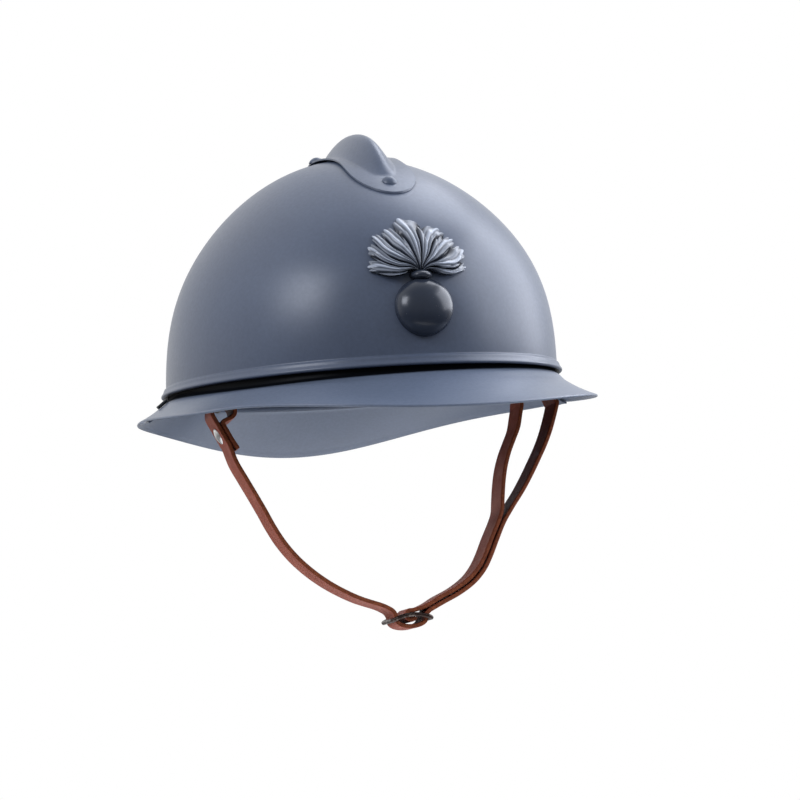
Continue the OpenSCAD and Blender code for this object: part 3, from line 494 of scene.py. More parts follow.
def brimPart(angle, tuck):
    # a closed profile at each angle, tucked in and down: collar, upper face, edge, lower face
    sheet, top = shell["sheet"], brim["collar"]
    reach, low = brimEdge(angle)
    deep = grooveDepth(angle)
    s = np.linspace(0, 1, brim["rows"])[:, None]
    slope = s + brim["flare"] * s * (1 - s)
    rise = (low + brim["foldDrop"]) * slope - brim["foldDrop"] - deep * (1 - smoothStep(s / 0.22))
    upper = np.stack([brim["foldOut"] + (reach - brim["foldOut"]) * s, rise], -1)
    # the hem thickens the last eighth of the sheet, and runs out at the side seams
    fromSeam = np.minimum(np.abs(angle - angle[0]), np.abs(angle - angle[-1]))
    hem = brim["hem"] * smoothStep((s - 0.87) / 0.025) * smoothStep((fromSeam - 0.01) / 0.12)
    lower = upper - np.stack([0.3 * sheet + 0 * hem, 1.1 * sheet + hem], -1)
    # half a turn round the edge
    turn = np.radians([60, 20, -20, -60])[:, None]
    half = 0.55 * sheet
    middle = (upper[-1:] + lower[-1:]) / 2
    edge = middle + np.stack([0.1 + 0.62 * half * np.cos(turn), half * np.sin(turn)], -1)
    out = -sheet - brim["gap"]
    back = out - sheet
    outside = collarWall([[out, top], [out, 2.0], [out, 0.2], [out + 0.1, -0.9],
                          [out + 0.6, -1.9]], deep)
    inside = collarWall([[back, top], [back, 2.0], [back, -0.4], [back + 0.2, -1.8],
                         [out - 0.1, -2.9]], deep)
    profile = np.concatenate([outside, upper, edge, lower[::-1], inside[::-1]]) - tuck[:, None]
    grid = wallPoint(angle, 0.0, profile[..., 0])
    grid[..., 1] += swellAt(profile[..., 1])
    grid[..., 2] = profile[..., 1]
    # painted shade lies on the collar and on the first 1.4 mm of the upper face, under the roll
    start = len(outside)
    paintedShade = np.zeros(profile.shape[:2])
    paintedShade[:start] = 1
    paintedShade[start:start + len(upper)] = 1 - smoothStep((s * reach - 0.2) / 1.2)
    return gridPart(grid.transpose(1, 0, 2), wrapCols=True, caps=True,
                    values={"creviceShade": paintedShade.T.ravel()})


def buildBrim():
    # the visor spans the front half; the neck guard spans the rest and is tucked under the
    # visor where they lap
    half = brim["seam"] + brim["lap"] / 2
    angle = np.linspace(-half, half, brim["visorColumns"])
    visor = brimPart(np.radians(angle), 0 * angle)
    makePiece("visor_brim", [visor], brimPaintLit, "visor", sharp=brim["crease"])
    start = brim["seam"] - brim["lap"] / 2
    angle = np.linspace(start, 360 - start, brim["napeColumns"])
    past = np.minimum(angle, 360 - angle) - half
    tuck = (shell["sheet"] + brim["gap"] + 0.1) * (1 - np.clip((past - 0.8) / 3, 0, 1))
    nape = brimPart(np.radians(angle), tuck)
    makePiece("neck_guard_brim", [nape], brimPaintLit, "neck_guard",
              sharp=brim["crease"])


buildBrim()
print("visor and neck guard made")


# Comb: flat flanges with a pressed hump, hollow inside

comb = {"front": 82.5, "rear": 70.0, "width": 38.0, "waist": 0.18, "humpWidth": 24.0,
        "humpHeight": 11.0, "humpEnd": 0.82, "lift": 1.1, "gap": 0.25, "rows": 181,
        "columns": 97, "rivetHead": 7.0, "rivetHeight": 1.9, "rivetInset": 9.0,
        "rivetAside": 0.42, "rivetY": -4.0}


def combFace(s, v, up):
    # s runs from the front, -1, to the rear, 1, and v across:
    # x = v w/2 sqrt(1 - |s|^4.5) (1 - waist sin^2 200s), and the height is the dome's, plus the
    # flange's lift, plus the hump's bell along and across
    far = np.abs(s)
    middle, half = (comb["rear"] - comb["front"]) / 2, (comb["rear"] + comb["front"]) / 2
    waist = 1 - comb["waist"] * np.sin(np.radians(200 * far)) ** 2
    x = v * comb["width"] / 2 * np.sqrt(1 - far ** 4.5) * waist
    y = middle + half * s + 0 * v
    flange = comb["lift"] * v ** 2 * np.maximum(0, np.cos(np.radians(100 * s))) ** 0.8
    foot = np.maximum(0.1, comb["humpWidth"] / 2 * (1 - 0.55 * (far / 0.8) ** 3))
    hump = comb["humpHeight"] * np.cos(np.pi / 2 * np.minimum(1, far / comb["humpEnd"]) ** 3)
    bell = np.cos(np.pi / 2 * np.clip(x / foot, -1, 1)) ** 1.5
    return np.stack([x, y, crownHeight(x, y, comb["gap"] + flange + up) + hump * bell], -1)


def buildComb():
    # a closed sheet between an upper and a lower face, with its points closer at the rims
    s = -np.cos(np.linspace(0.03, np.pi - 0.03, comb["rows"]))[:, None]
    v = np.sin(np.linspace(-np.pi / 2, np.pi / 2, comb["columns"]))[None, :]
    grid = np.concatenate([combFace(s, v, shell["sheet"]), combFace(s, v, 0.0)[:, ::-1]], 1)
    makePiece("comb_pressing", [gridPart(grid, wrapCols=True, caps=True)], shellPaint, "comb",
              sharp=50)


def revolved(profile, place, axis, count=40):
    # a profile of radius and height turned about an axis through a place; its first and last
    # points lie on the axis
    axis = np.asarray(axis, float) / np.linalg.norm(axis)
    side = np.cross(axis, [0.3, 0.9, 0.1])
    side /= np.linalg.norm(side)
    other = np.cross(axis, side)
    p = np.asarray(profile, float)
    turn = circle(count)[None, :, None]
    spoke = np.cos(turn) * side + np.sin(turn) * other
    grid = place + p[1:-1, None, :1] * spoke + p[1:-1, None, 1:] * axis
    return gridPart(grid, wrapCols=True, poles=(place + axis * p[0, 1], place + axis * p[-1, 1]),
                    flip=True)


def capProfile(width, height, drop, count=12):
    # a low dome of that width and height over a short straight side
    ball = ((width / 2) ** 2 + height ** 2) / (2 * height)
    t = np.linspace(0, math.asin(width / 2 / ball), count)
    cap = np.stack([ball * np.sin(t), height - ball + ball * np.cos(t)], -1)
    return np.vstack([cap, [[width / 2 + 0.05, -0.15], [width / 2, -drop], [0, -drop]]])


def buildCombRivets():
    # four rivets square to the dome: a domed head, a shank and a closed end inside the bowl
    aside, rise = comb["width"] * comb["rivetAside"], comb["lift"] * 0.85
    places = [[0, comb["rivetInset"] - comb["front"], 0],
              [0, comb["rear"] - comb["rivetInset"], 0],
              [aside, comb["rivetY"], rise], [-aside, comb["rivetY"], rise]]
    closed = [[0, 0], [2.2, 0], [2.6, -0.3], [2.4, -0.8], [1.4, -1.0], [0, -1.05]]
    parts = []
    for x, y, lift in places:
        slopeX = crownHeight(x + 0.5, y, 0) - crownHeight(x - 0.5, y, 0)
        slopeY = crownHeight(x, y + 0.5, 0) - crownHeight(x, y - 0.5, 0)
        normal = np.array([-slopeX, -slopeY, 1.0]) / math.sqrt(slopeX ** 2 + slopeY ** 2 + 1)
        seat = comb["gap"] + shell["sheet"] + lift + 0.15
        foot = -seat - 1.4
        shank = [[0, 0.3], [1.6, 0.3], [1.6, foot], [0, foot]]
        at = np.array([x, y, float(crownHeight(x, y, 0))])
        cap = capProfile(comb["rivetHead"], comb["rivetHeight"], 0.35)
        parts.append(revolved(cap, at + normal * seat, normal))
        parts.append(revolved(shank, at + normal * seat, normal, 24))
        parts.append(revolved(closed, at - normal * 1.3, normal, 32))
    makePiece("comb_rivet_heads", parts, shellPaint, "comb_rivets")


buildComb()
buildCombRivets()
print("comb made")


# Badge: a flame of many pointed locks tied in above a bare ball

badge = {"ballHeight": 25.4, "ballWidth": 26.0, "ballRelief": 8.0, "ballFoot": 0.9,
         "flameHeight": 32.0, "flameHalf": 24.0, "flameRelief": 5.0, "flameStart": 2.5,
         "pitch": 20.0, "span": 90.0, "rows": 421, "columns": 92, "tieHalf": 5.0,
         "tieHigh": 2.6, "tieRelief": 6.3, "tieStart": 1.5, "lift": 0.2}


def badgePoint(u, v, out):
    # across, up from the ball's centre and out from the wall, laid on the front of the bowl
    z = badge["ballHeight"] + v - 0.0021 * v * v
    angle = np.arcsin(np.clip(u / (shell["halfWidth"] * sectionShare(z)), -1, 1))
    return wallPoint(angle, z, out)


def flamePart():
    # height over the bowl by angle about the tie and share r of the way out: a body that rises
    # and falls, times ridges, one to each lock, and finer strands on them
    angle = np.linspace(-badge["span"], badge["span"], badge["rows"])[:, None]
    r = np.linspace(0.05, 1, badge["columns"])[None, :]
    # each lock is a fat ridge between narrow valleys, wandering sideways as it rises
    drift = (9 * np.sin(np.radians(2.3 * angle + 170 * r))
             + 4.4 * np.sin(np.radians(5.1 * angle - 260 * r + 70)))
    phase = (angle + drift * r) / badge["pitch"]
    number = np.round(phase)
    ridge = np.sqrt(1 - 0.97 * (2 * (phase - number)) ** 2)
    proud = 0.82 + 0.18 * np.sin(2.4 * number + 1)
    strand = (0.5 + 0.5 * np.cos(6 * np.pi * phase)) ** 0.7
    # the locks are longest at the top, and each ends in a point
    share = np.minimum(1, np.abs(angle) / 80)
    reach = badge["flameHeight"] * (1 - share) + badge["flameHalf"] * share
    reach = reach * (0.77 + 0.2 * ridge[:, -1:] * proud[:, -1:] + 0.04 * strand[:, -1:])
    body = 0.34 + 0.66 * np.sin(np.pi * r ** 0.62)
    split = smoothStep(r / 0.6)
    fat = 1 + 0.35 * smoothStep((np.abs(angle) - 55) / 20)
    relief = 0.28 + 0.54 * ridge * proud + 0.18 * strand * split / fat ** 2
    height = np.maximum(badge["flameRelief"] * body * fat * relief, 0.7)
    height = height * (1 - 0.3 * smoothStep((r - 0.84) / 0.16))
    # the locks leave the tie upright, lean out and droop, and their tips turn up again
    lean = 0.6 + 0.46 * smoothStep(r * 2.2) - 0.1 * smoothStep((r - 0.55) / 0.45)
    curl = (6 * np.sin(np.radians(angle * 3.1 + 230 * r)) * r
            + 3 * np.sin(np.radians(angle * 7 - 160 * r)) * r)
    turn = np.radians(angle * lean + curl * np.cos(np.radians(angle)) ** 0.5)
    u = r * reach * np.sin(turn)
    v = badge["ballWidth"] / 2 + badge["flameStart"] + r * reach * np.cos(turn)
    # a face against the bowl closes it; the crests are painted paler, partly rubbed paint and
    # partly painted highlight, and painted shade lies in the valleys
    flat = np.full_like(height, badge["lift"])
    grid = np.concatenate([badgePoint(u, v, height), badgePoint(u[:, ::-1], v[:, ::-1], flat)], 1)
    crest = 0.85 * ridge ** 3 * (0.2 + 0.8 * strand) * smoothStep(r / 0.5)
    valley = 0.75 * (1 - ridge) ** 1.6
    values = {"rubbedAndHighlight": np.concatenate([crest, 0 * crest], 1).ravel(),
              "creviceShade": np.concatenate([valley, 0 * valley], 1).ravel()}
    return gridPart(grid, wrapCols=True, caps=True, flip=True, values=values)


def ovalPart(half, high, up, relief, share, foot):
    # an oval dome on the bowl: out = relief sqrt(1 - share k^2) + foot, with k from its middle
    around = circle(96)[None, :]
    k = np.sin(np.linspace(0.06, np.pi / 2, 28))[:, None]
    out = relief * np.sqrt(np.maximum(0, 1 - share * k ** 2)) + foot
    out = np.vstack([out, [[badge["lift"]]]]) + 0 * around
    ring = np.vstack([k, [[1.0]]])
    grid = badgePoint(ring * half * np.sin(around), up + ring * high * np.cos(around), out)
    poles = (badgePoint(0.0, up, relief + foot), badgePoint(0.0, up, badge["lift"]))
    return gridPart(grid, wrapCols=True, poles=poles,
                    values={"rubbedAndHighlight": np.zeros(1), "creviceShade": np.zeros(1)})


def buildBadge():
    # the flame, the ball and the tie, a fat oval seen from the front
    radius = badge["ballWidth"] / 2
    ball = ovalPart(radius, radius, 0.0, badge["ballRelief"], 1.0, badge["ballFoot"])
    tie = ovalPart(badge["tieHalf"], badge["tieHigh"], radius + badge["tieStart"],
                   badge["tieRelief"], 0.96, 0.0)
    makePiece("badge_relief", [flamePart(), ball, tie], badgePaint, "badge",
              sharp=70)


buildBadge()
print("badge made")


# Liner: a leather band with seven tongues drawn in by a lace, over felt and corrugated spacers

liner = {"z": 9.5, "band": 23.0, "spacer": 4.4, "felt": 1.6, "leather": 1.3, "tongues": 7,
         "lace": 2.4, "laceRing": 21.0, "laceZ": 80.0, "gap": 0.2, "laceSteps": 420}
feltOut = -shell["sheet"] - 0.45 - liner["spacer"] - liner["gap"]
leatherOut = feltOut - liner["felt"] - liner["gap"]
bandTop = liner["z"] + liner["band"]
laceMiddle = float(swellAt(liner["laceZ"]))
eyeRadius = liner["lace"] / 2 + 0.15


def bandPart(outer, thick, low, high, waves=0.0):
    # a ring inside the bowl with rounded edges; waves lets the cut edge rise and fall
    angle = circle(240)[None, :]
    t = np.linspace(0, 1, 16)[:, None]
    wander = waves * (np.sin(5 * angle + 1) + 0.6 * np.sin(11 * angle))
    up = low + wander + (high - low - wander) * t
    bulge = 0.35 * thick
    face = wallPoint(angle, up, outer)
    back = wallPoint(angle, up, outer - thick)
    lip = wallPoint(angle, high + bulge + 0 * angle, outer - thick / 2)
    hem = wallPoint(angle, low + wander - bulge, outer - thick / 2)
    return gridPart(np.concatenate([face, lip, back[::-1], hem]), wrapRows=True, wrapCols=True)


def outward(angle):
    # level directions at those angles
    return np.concatenate([np.sin(angle), -np.cos(angle), 0 * angle], 2)


def tonguePart(centre):
    # each tongue bends from the band over to the lace and folds round it, and its sides draw in
    # as it rises: (1 - q)^2 root + 2q (1 - q) knee + q^2 tip
    thick = liner["leather"] - 0.5
    room = eyeRadius + thick + 0.5
    pitch = 2 * np.pi / liner["tongues"]
    lace = np.array([0, laceMiddle, liner["laceZ"]])
    c = np.sin(np.linspace(-np.pi / 2, np.pi / 2, 33))[:, None, None]
    q = np.linspace(0, 1, 40)[None, :, None]
    turn = np.radians(np.linspace(15, 240, 18))[None, :, None]

    def face(t):
        # the face at a depth t below the upper one
        angle = centre + pitch * c * (0.44 - 0.065 * np.sqrt(q) - 0.09 * q)
        out = outward(angle)
        root = wallPoint(angle[..., 0], bandTop - 3, leatherOut) - out * 0.35
        tip = out * liner["laceRing"] + lace + [0, 0, room]
        knee = np.stack([root[..., 0] * 0.97, root[..., 1] * 0.97, tip[..., 2] - 5], 2)
        inward = np.concatenate([out[..., :2] * (1 - q), q + 0 * angle], 2)
        inward /= np.linalg.norm(inward, axis=2, keepdims=True)
        pucker = 0.45 * np.sin(4 * np.pi * c) * np.sin(np.pi * q) ** 2
        line = root * (1 - q) ** 2 + knee * 2 * q * (1 - q) + tip * q ** 2 - inward * (t - pucker)
        far = room - t
        side = outward(centre + pitch * c * 0.285 + 0 * turn)
        fold = lace + side * (liner["laceRing"] - far * np.sin(turn))
        return np.concatenate([line, fold + np.array([0, 0, 1]) * far * np.cos(turn)], 1)

    grid = np.concatenate([face(0.0), face(thick)[:, ::-1]], 1)
    return gridPart(grid, wrapCols=True, caps=True, flip=True)


def buildLiner():
    # the leather with its tongues, the felt behind it and the lace; gives back the felt
    parts = [bandPart(leatherOut, liner["leather"], liner["z"] + 0.4, bandTop - 0.4)]
    parts += [tonguePart(2 * np.pi * k / liner["tongues"]) for k in range(liner["tongues"])]
    makePiece("liner_leather_cap", parts, blackLeather, "liner", sharp=60)
    strip = bandPart(feltOut, liner["felt"], liner["z"] + 0.5, bandTop - 0.5, waves=0.25)
    feltStrip = makePiece("felt_strip", [strip], felt, "felt_band")
    # three strands are twisted along the lace
    around = circle(liner["laceSteps"])[:, None]
    turn = circle(24)[None, :]
    strand = np.abs(np.cos(1.5 * (turn + 30 * around)))
    radius = liner["lace"] / 2 * (0.8 + 0.2 * strand)
    ring = liner["laceRing"] + radius * np.cos(turn)
    grid = np.stack([ring * np.sin(around), laceMiddle - ring * np.cos(around),
                     liner["laceZ"] + radius * np.sin(turn)], -1)
    lace = gridPart(grid, wrapRows=True, wrapCols=True, flip=True,
                    values={"strand": strand.ravel()})
    makePiece("lace_cord", [lace], cordLinen, "liner_lace")
    return feltStrip


buildLiner()
print("liner made")


# Chin strap: one long leather strip, folded round the right bail and held by a rivet, under
# the chin, through the slider, over the left bail and back to the slider's bar

strap = {"width": 15.5, "thick": 2.0, "corner": 0.62, "lean": 6.0, "forward": 34.0, "up": 2.5,
         "barX": 77.56, "barZ": -12.2, "wire": 1.25, "hang": 0.2, "rightTurn": 5.4,
         "leftTurn": 9.1, "studLean": 26.0, "studDrop": 8.5, "studWidth": 8.0, "studHeight": 1.1,
         "sliderX": 3.2, "sliderBar": 1.0, "sliderZ": -114.8, "sliderLength": 21.6,
         "sliderCorner": 2.4, "steps": 1500}


def strapPlace(points):
    # from the strap's own frame, across, to the rear and up, leaned forward about the lug rivets
    lean = math.radians(strap["lean"])
    p = np.asarray(points, float)
    y = p[..., 1] * math.cos(lean) + p[..., 2] * math.sin(lean) - strap["forward"]
    z = -p[..., 1] * math.sin(lean) + p[..., 2] * math.cos(lean) + strap["up"]
    return np.stack([p[..., 0], y, z], -1)


def arcPoints(centre, radius, start, stop, count):
    # centre + radius (cos, sin), in degrees, with both ends
    turn = np.radians(np.linspace(start, stop, count + 1))[:, None]
    return np.asarray(centre) + radius * np.hstack([np.cos(turn), np.sin(turn)])


def sweepPoints(a, b, c, d, count):
    # a cubic bend between two ends and their handles, without its last point
    t = (np.arange(count) / count)[:, None]
    a, b, c, d = (np.asarray(p, float) for p in (a, b, c, d))
    return a * (1 - t) ** 3 + b * 3 * t * (1 - t) ** 2 + c * 3 * t ** 2 * (1 - t) + d * t ** 3


# points and lengths, across and up, that the strap, its rivet and the slider share
crownTop = strap["barZ"] + strap["wire"] + strap["hang"] + strap["thick"] / 2
studLean = math.radians(strap["studLean"])
along = np.array([math.sin(studLean), -math.cos(studLean)])
aside = np.array([math.cos(studLean), math.sin(studLean)])
rightMiddle = np.array([-strap["barX"], crownTop - strap["rightTurn"]])
studAt = rightMiddle - aside * strap["rightTurn"] + along * strap["studDrop"]
innerStud = studAt + (strap["thick"] + 0.25) * aside
endLow = strap["sliderZ"] - 2
endBar = strap["sliderLength"] / 2 - 1.3
wrap = strap["sliderBar"] + 0.4 + strap["thick"] / 2


def strapLine():
    # the middle line from the tail, over the right bail, round the chin, over the left bail and
    # back to the slider
    x, bar = strap["sliderX"], strap["sliderZ"]
    left, right, low = x - endBar, x + endBar, endLow
    turn = strap["rightTurn"]
    tail = np.vstack([
        sweepPoints([-72.2, -32.8], [-73, -30.9], innerStud + 6.5 * along,
                    innerStud + 3.8 * along, 6),
        sweepPoints(innerStud + 3.8 * along, innerStud + along, innerStud - along,
                    innerStud - 3.6 * along, 3),
        sweepPoints(innerStud - 3.5 * along, innerStud - 6.4 * along, rightMiddle + [turn, -4.2],
                    rightMiddle + [turn, 0], 8)])
    crown = arcPoints(rightMiddle, turn, 0, 170 + strap["studLean"], 14)
    near = [rightMiddle - aside * turn + along * 0.5, studAt, studAt + 4.4 * along,
            studAt + 6.4 * along, [-73.4, -38.8], [-69.6, -46.5], [-65.7, -54.2],
            [-61.9, -61.9], [-58.3, -69.6], [-54, -77.3], [-48.3, -84.9], [-41.5, -91.7],
            [-34.3, -97.4], [-27, -102], [-19.6, -105.8], [left - 4.2, low + 7.5]]
    sag = np.linspace(np.pi, 2 * np.pi, 20)
    dip = np.vstack([
        sweepPoints([left - 0.9, low + 5.8], [left + 1.4, low + 4.6], [left + wrap, low + 3],
                    [left + wrap, low], 8),
        np.stack([x + (endBar - wrap) * np.cos(sag), low + 3.2 * np.sin(sag)], -1),
        sweepPoints([right - wrap, low + 0.3], [right - wrap, low + 1.6],
                    [right - 1.3, low + 3], [right + 0.4, low + 3.9], 6)])
    far = [[right + 0.4, low + 3.9], [19.4, -110], [28, -106.2], [35.5, -101.6], [41, -96.2],
           [45, -90], [49, -82.3], [53.3, -74.4], [58.6, -67.1], [64.5, -59.7], [69.7, -52.2],
           [74.5, -44.6], [79, -37], [82.7, -29.3]]
    leftMiddle = [strap["barX"], crownTop - strap["leftTurn"]]
    over = arcPoints(leftMiddle, strap["leftTurn"], 0, 180, 16)
    back = [[67.4, -22.6], [65.6, -29], [62.6, -35], [59.6, -41], [57, -48], [55.2, -55.3],
            [53.9, -62.9], [53, -68.5], [51.1, -73], [46.7, -81], [42.7, -88.7], [38.9, -94.5],
            [33.9, -99.5], [26.8, -103.9], [18.3, -107.6], [x + 9.6, bar + 4.4],
            [x + 4.6, bar + 2.7]]
    eye = arcPoints([x, bar], strap["sliderBar"] + 0.2 + strap["thick"] / 2, 75, 330, 14)
    return np.vstack([tail, crown, near, dip, far, over, back, eye])


def strapSection():
    # a strip with rounded corners: its points, how far each is the grain face, and how far it
    # is a cut edge
    corner = strap["corner"]
    halfW, halfT = strap["width"] / 2, strap["thick"] / 2
    flat = np.linspace(corner - halfW, halfW - corner, 13)[1:-1]
    points, grain, edge = [], [], []
    for signW, signT, start in ((1, 1, 0), (-1, 1, 90), (-1, -1, 180), (1, -1, 270)):
        turn = np.radians(np.linspace(start, start + 90, 6))
        points.append(np.stack([signW * (halfW - corner) + corner * np.cos(turn),
                                signT * (halfT - corner) + corner * np.sin(turn)], -1))
        grain.append(np.where(np.sin(turn) < -0.7, 1.0, 0.0))
        edge.append(np.cos(turn) ** 2)
        if signW == signT:
            row = -signW * flat
            points.append(np.stack([row, np.full(len(row), signT * halfT)], -1))
            grain.append(np.full(len(row), 0.0 if signT > 0 else 1.0))
            edge.append(np.clip(np.abs(row) - halfW + 1.6, 0, 1) * 0.35)
    return np.vstack(points), np.concatenate(grain), np.concatenate(edge)


def buildStrap():
    # the section set square to the middle line, all along it
    line = throughPoints(strapLine(), strap["steps"])
    ahead = np.gradient(line, axis=0)
    ahead /= np.linalg.norm(ahead, axis=1, keepdims=True)
    side = np.stack([-ahead[:, 1], ahead[:, 0]], -1)
    section, grain, edge = strapSection()
    flat = line[:, None] + side[:, None] * section[:, 1:]
    rear = np.broadcast_to(section[:, 0], flat.shape[:2])
    grid = strapPlace(np.stack([flat[..., 0], rear, flat[..., 1]], -1))
    values = {"grainFace": np.tile(grain, len(line)), "cutEdge": np.tile(edge, len(line))}
    makePiece("strap_leather", [gridPart(grid, wrapCols=True, caps=True, values=values)],
              strapLeather, "chin_strap", body="strap", sharp=60)


def buildStrapRivet():
    # a low domed head outside, a shank and a flat head inside
    out = strapPlace([-aside[0], 0, -aside[1]]) - strapPlace([0, 0, 0])
    at = strapPlace([studAt[0], 0, studAt[1]])
    reach = strap["thick"] / 2 + 0.15
    deep = strap["thick"] * 1.5 + 0.25
    foot = -deep - reach - 0.2
    cap = capProfile(strap["studWidth"], strap["studHeight"], 0.2)
    shank = [[0, 0.1], [1.5, 0.1], [1.5, foot], [0, foot]]
    burr = [[0, 0], [2.9, 0], [3.25, -0.25], [3.2, -0.7], [2.7, -0.95], [0, -1.0]]
    parts = [revolved(cap, at + out * reach, out, 64), revolved(shank, at + out * reach, out, 24),
             revolved(burr, at - out * (deep + 0.15), out, 48)]
    makePiece("strap_rivet_heads", parts, rivetAluminium, "strap_rivet", body="strap")


def tubePart(path, radius, closed=False, count=20):
    # a round bar along a path of points
    p = np.asarray(path, float)
    ahead = (np.roll(p, -1, 0) - np.roll(p, 1, 0)) if closed else np.gradient(p, axis=0)
    ahead /= np.linalg.norm(ahead, axis=1, keepdims=True)
    side = np.cross(ahead, [0.0, 0.0, 1.0])
    side /= np.linalg.norm(side, axis=1, keepdims=True)
    other = np.cross(side, ahead)
    turn = circle(count)[None, :, None]
    grid = p[:, None] + radius * (np.cos(turn) * side[:, None] + np.sin(turn) * other[:, None])
    return gridPart(grid, wrapRows=closed, wrapCols=True, caps=not closed, flip=True)


def buildSlider():
    # a rounded frame bowed over the chin, with a bar across its middle
    half = strap["width"] / 2 + 1 + strap["sliderBar"]
    corner = strap["sliderCorner"]
    outline = [arcPoints([signX * (endBar - corner), signY * (half - corner)], corner, start,
                         start + 90, 8)
               for signX, signY, start in ((1, 1, 0), (-1, 1, 90), (-1, -1, 180), (1, -1, 270))]
    flat = evenly(np.vstack(outline + [outline[0][:1]]), 181)[:-1]
    bow = endLow + (strap["sliderZ"] - endLow) * (1 - (flat[:, 0] / endBar) ** 2)
    rim = np.stack([flat[:, 0] + strap["sliderX"], flat[:, 1], bow], -1)
    y = np.linspace(-half, half, 24)
    bar = np.stack([strap["sliderX"] + 0 * y, y, strap["sliderZ"] + 0 * y], -1)
    parts = []
    for path, closed in ((rim, True), (bar, False)):
        points, faces, values = tubePart(path, strap["sliderBar"], closed)
        parts.append((strapPlace(points), faces, values))
    makePiece("slider_frame", parts, sliderIron, "strap_slider", body="strap")


buildStrap()
buildStrapRivet()
buildSlider()
print("strap made")


# Pieces kept from the solids, with their finishes

kept = {"seam_clip_right": clipIron, "seam_clip_left": clipIron, "badge_prongs": wireIron,
        "lug_rivet_right": wireIron, "lug_rivet_left": wireIron, "lug_right": wireIron,
        "lug_left": wireIron, "bail_right": wireIron, "bail_left": wireIron,
        "spacer_front": sheetAluminium, "spacer_rear": sheetAluminium,
        "spacer_right": sheetAluminium, "spacer_left": sheetAluminium,
        "liner_clips": sheetAluminium}
for name, finish in kept.items():
    if nodes[name].material_slots:
        for place in nodes[name].material_slots:
            place.material = finish
    else:
        nodes[name].data.materials.append(finish)
print("finishes set")


# Camera at the photograph's angle: turn, tilt and roll in radians, distance in metres, and the
# focal length and the picture's middle in pixels of an image 800 wide

view = {"turn": 0.2688, "tilt": -0.0757, "roll": 0.0633, "distance": 0.9152, "pixels": 2016.9,
        "middle": (359.69, 387.5), "image": 800.0, "sensor": 36.0}


def buildCamera():
    # looks at the origin from its distance, and the shift puts the origin where the photo has it
    turn, tilt = -view["turn"], view["tilt"]
    back = Vector((math.sin(turn) * math.cos(tilt), -math.cos(turn) * math.cos(tilt),
                   math.sin(tilt)))
    right = Vector((math.cos(turn), math.sin(turn), 0))
    up = back.cross(right)
    c, s = math.cos(view["roll"]), math.sin(view["roll"])
    data = bpy.data.cameras.new("camera")
    data.sensor_width = view["sensor"]
    data.lens = view["sensor"] * view["pixels"] * view["distance"] / view["image"]
    data.shift_x = 0.5 - view["middle"][0] / view["image"]
    data.shift_y = view["middle"][1] / view["image"] - 0.5
    data.clip_start = 0.05
    camera = bpy.data.objects.new("camera", data)
    place = Matrix((right * c - up * s, right * s + up * c, back)).transposed().to_4x4()
    place.translation = back * view["distance"]
    camera.matrix_world = place
    bpy.context.scene.collection.objects.link(camera)
    bpy.context.scene.camera = camera


# Studio: lamps, in metres and watts, round a pale table top below the hanging strap

studio = {"lamps": {"left_box": {"place": (-1.3, -0.7, 0.85), "size": (0.7, 0.7), "watts": 12.5},
                    "right_box": {"place": (1.3, -0.12, 0.6), "size": (1.7, 1.2), "watts": 27.0},
                    "top_box": {"place": (0.75, 0.5, 1.35), "size": (0.8, 0.8), "watts": 7.5}},
          "tint": "#eef3ff", "target": (0, 0, 0.03), "tableRadius": 620.0, "tableZ": -460.0,
          "tablePoints": 128}


def buildLamps():
    # each lamp is a rectangle that faces the helmet
    for name, lamp in studio["lamps"].items():
        data = bpy.data.lights.new(name, "AREA")
        data.shape = "RECTANGLE"
        data.size, data.size_y = lamp["size"]
        data.energy = lamp["watts"]
        data.color = colour(studio["tint"])[:3]
        light = bpy.data.objects.new(name, data)
        light.location = lamp["place"]
        away = Vector(lamp["place"]) - Vector(studio["target"])
        light.rotation_euler = away.to_track_quat("Z", "Y").to_euler()
        bpy.context.scene.collection.objects.link(light)


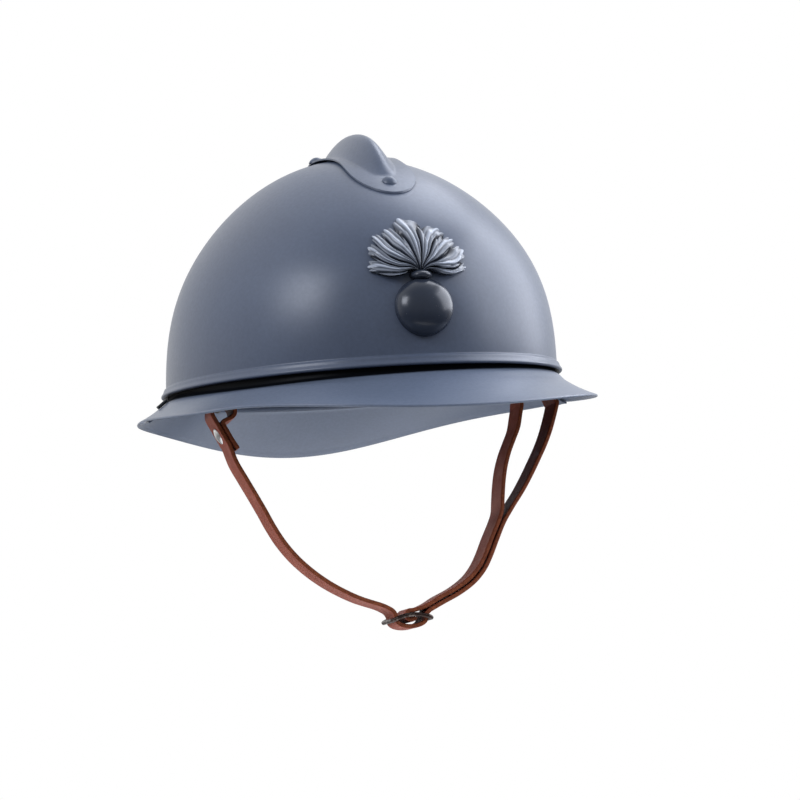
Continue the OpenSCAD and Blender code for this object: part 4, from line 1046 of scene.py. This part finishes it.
def buildRoom():
    # white where the camera sees it; reflections show a bright wall behind and a dimmer room in
    # front, both fading to the floor; other light fades from above to the floor
    world = bpy.data.worlds.new("studio")
    world.use_nodes = True
    bpy.context.scene.world = world
    tree = world.node_tree
    rays = addNode(tree, "LightPath", {}).node.outputs
    place = addNode(tree, "TexCoord", {}, "Generated")
    axes = addNode(tree, "SeparateXYZ", {"Vector": place}).node.outputs
    behind = addNode(tree, "MapRange", {"Value": axes["Y"], "From Min": -0.55, "From Max": 0.35,
                                        "To Min": 0.16}, interpolation_type="SMOOTHSTEP")
    above = addNode(tree, "MapRange", {"Value": axes["Z"], "From Min": -0.35, "From Max": 0.05,
                                       "To Min": 0.12})
    diffuse = addNode(tree, "MapRange", {"Value": axes["Z"], "From Min": -0.35,
                                         "From Max": 0.5, "To Min": 0.04, "To Max": 0.92})
    mirrored = addNode(tree, "Math", {0: behind, 1: above}, operation="MULTIPLY")
    mirrored = addNode(tree, "Math", {0: mirrored, 1: rays["Is Glossy Ray"]},
                       operation="MULTIPLY")
    others = addNode(tree, "Math", {0: 1.0, 1: rays["Is Glossy Ray"]}, operation="SUBTRACT")
    strength = addNode(tree, "Math", {0: diffuse, 1: others, 2: mirrored},
                       operation="MULTIPLY_ADD")
    seen = addNode(tree, "Math", {0: rays["Is Camera Ray"], 1: rays["Is Transmission Ray"]},
                   operation="MAXIMUM")
    strength = addNode(tree, "Math", {0: strength, 1: seen}, operation="MAXIMUM")
    setInputs(tree, tree.nodes["Background"], {"Color": "#ffffff", "Strength": strength})


def buildTable():
    # one round face
    turn, radius = circle(studio["tablePoints"]), studio["tableRadius"]
    ring = np.stack([radius * np.sin(turn), radius * np.cos(turn), studio["tableZ"] + 0 * turn], -1)
    mesh = bpy.data.meshes.new("floor")
    mesh.from_pydata((ring * 0.001).tolist(), [], [list(range(len(turn)))[::-1]])
    floor = bpy.data.objects.new("floor", mesh)
    bpy.context.scene.collection.objects.link(floor)
    # matt pale paint, with clouds 60 mm across that barely show
    material, tree, shader, place = newMaterial("floor_paint")
    cloud = addNode(tree, "TexNoise", {"Vector": place, "Scale": 1000 / 60, "Detail": 3,
                                       "Roughness": 0.55})
    share = addNode(tree, "MapRange", {"Value": cloud, **patternMiddle})
    tone = addNode(tree, "Mix", {0: share, 6: "#f2f2f1", 7: "#eeeeed"}, **mixed)
    setInputs(tree, shader, {"Base Color": tone, "Roughness": 0.7})
    mesh.materials.append(material)


bpy.context.scene.view_settings.view_transform = "Standard"
buildCamera()
buildRoom()
buildTable()
buildLamps()
print("camera and lights set")
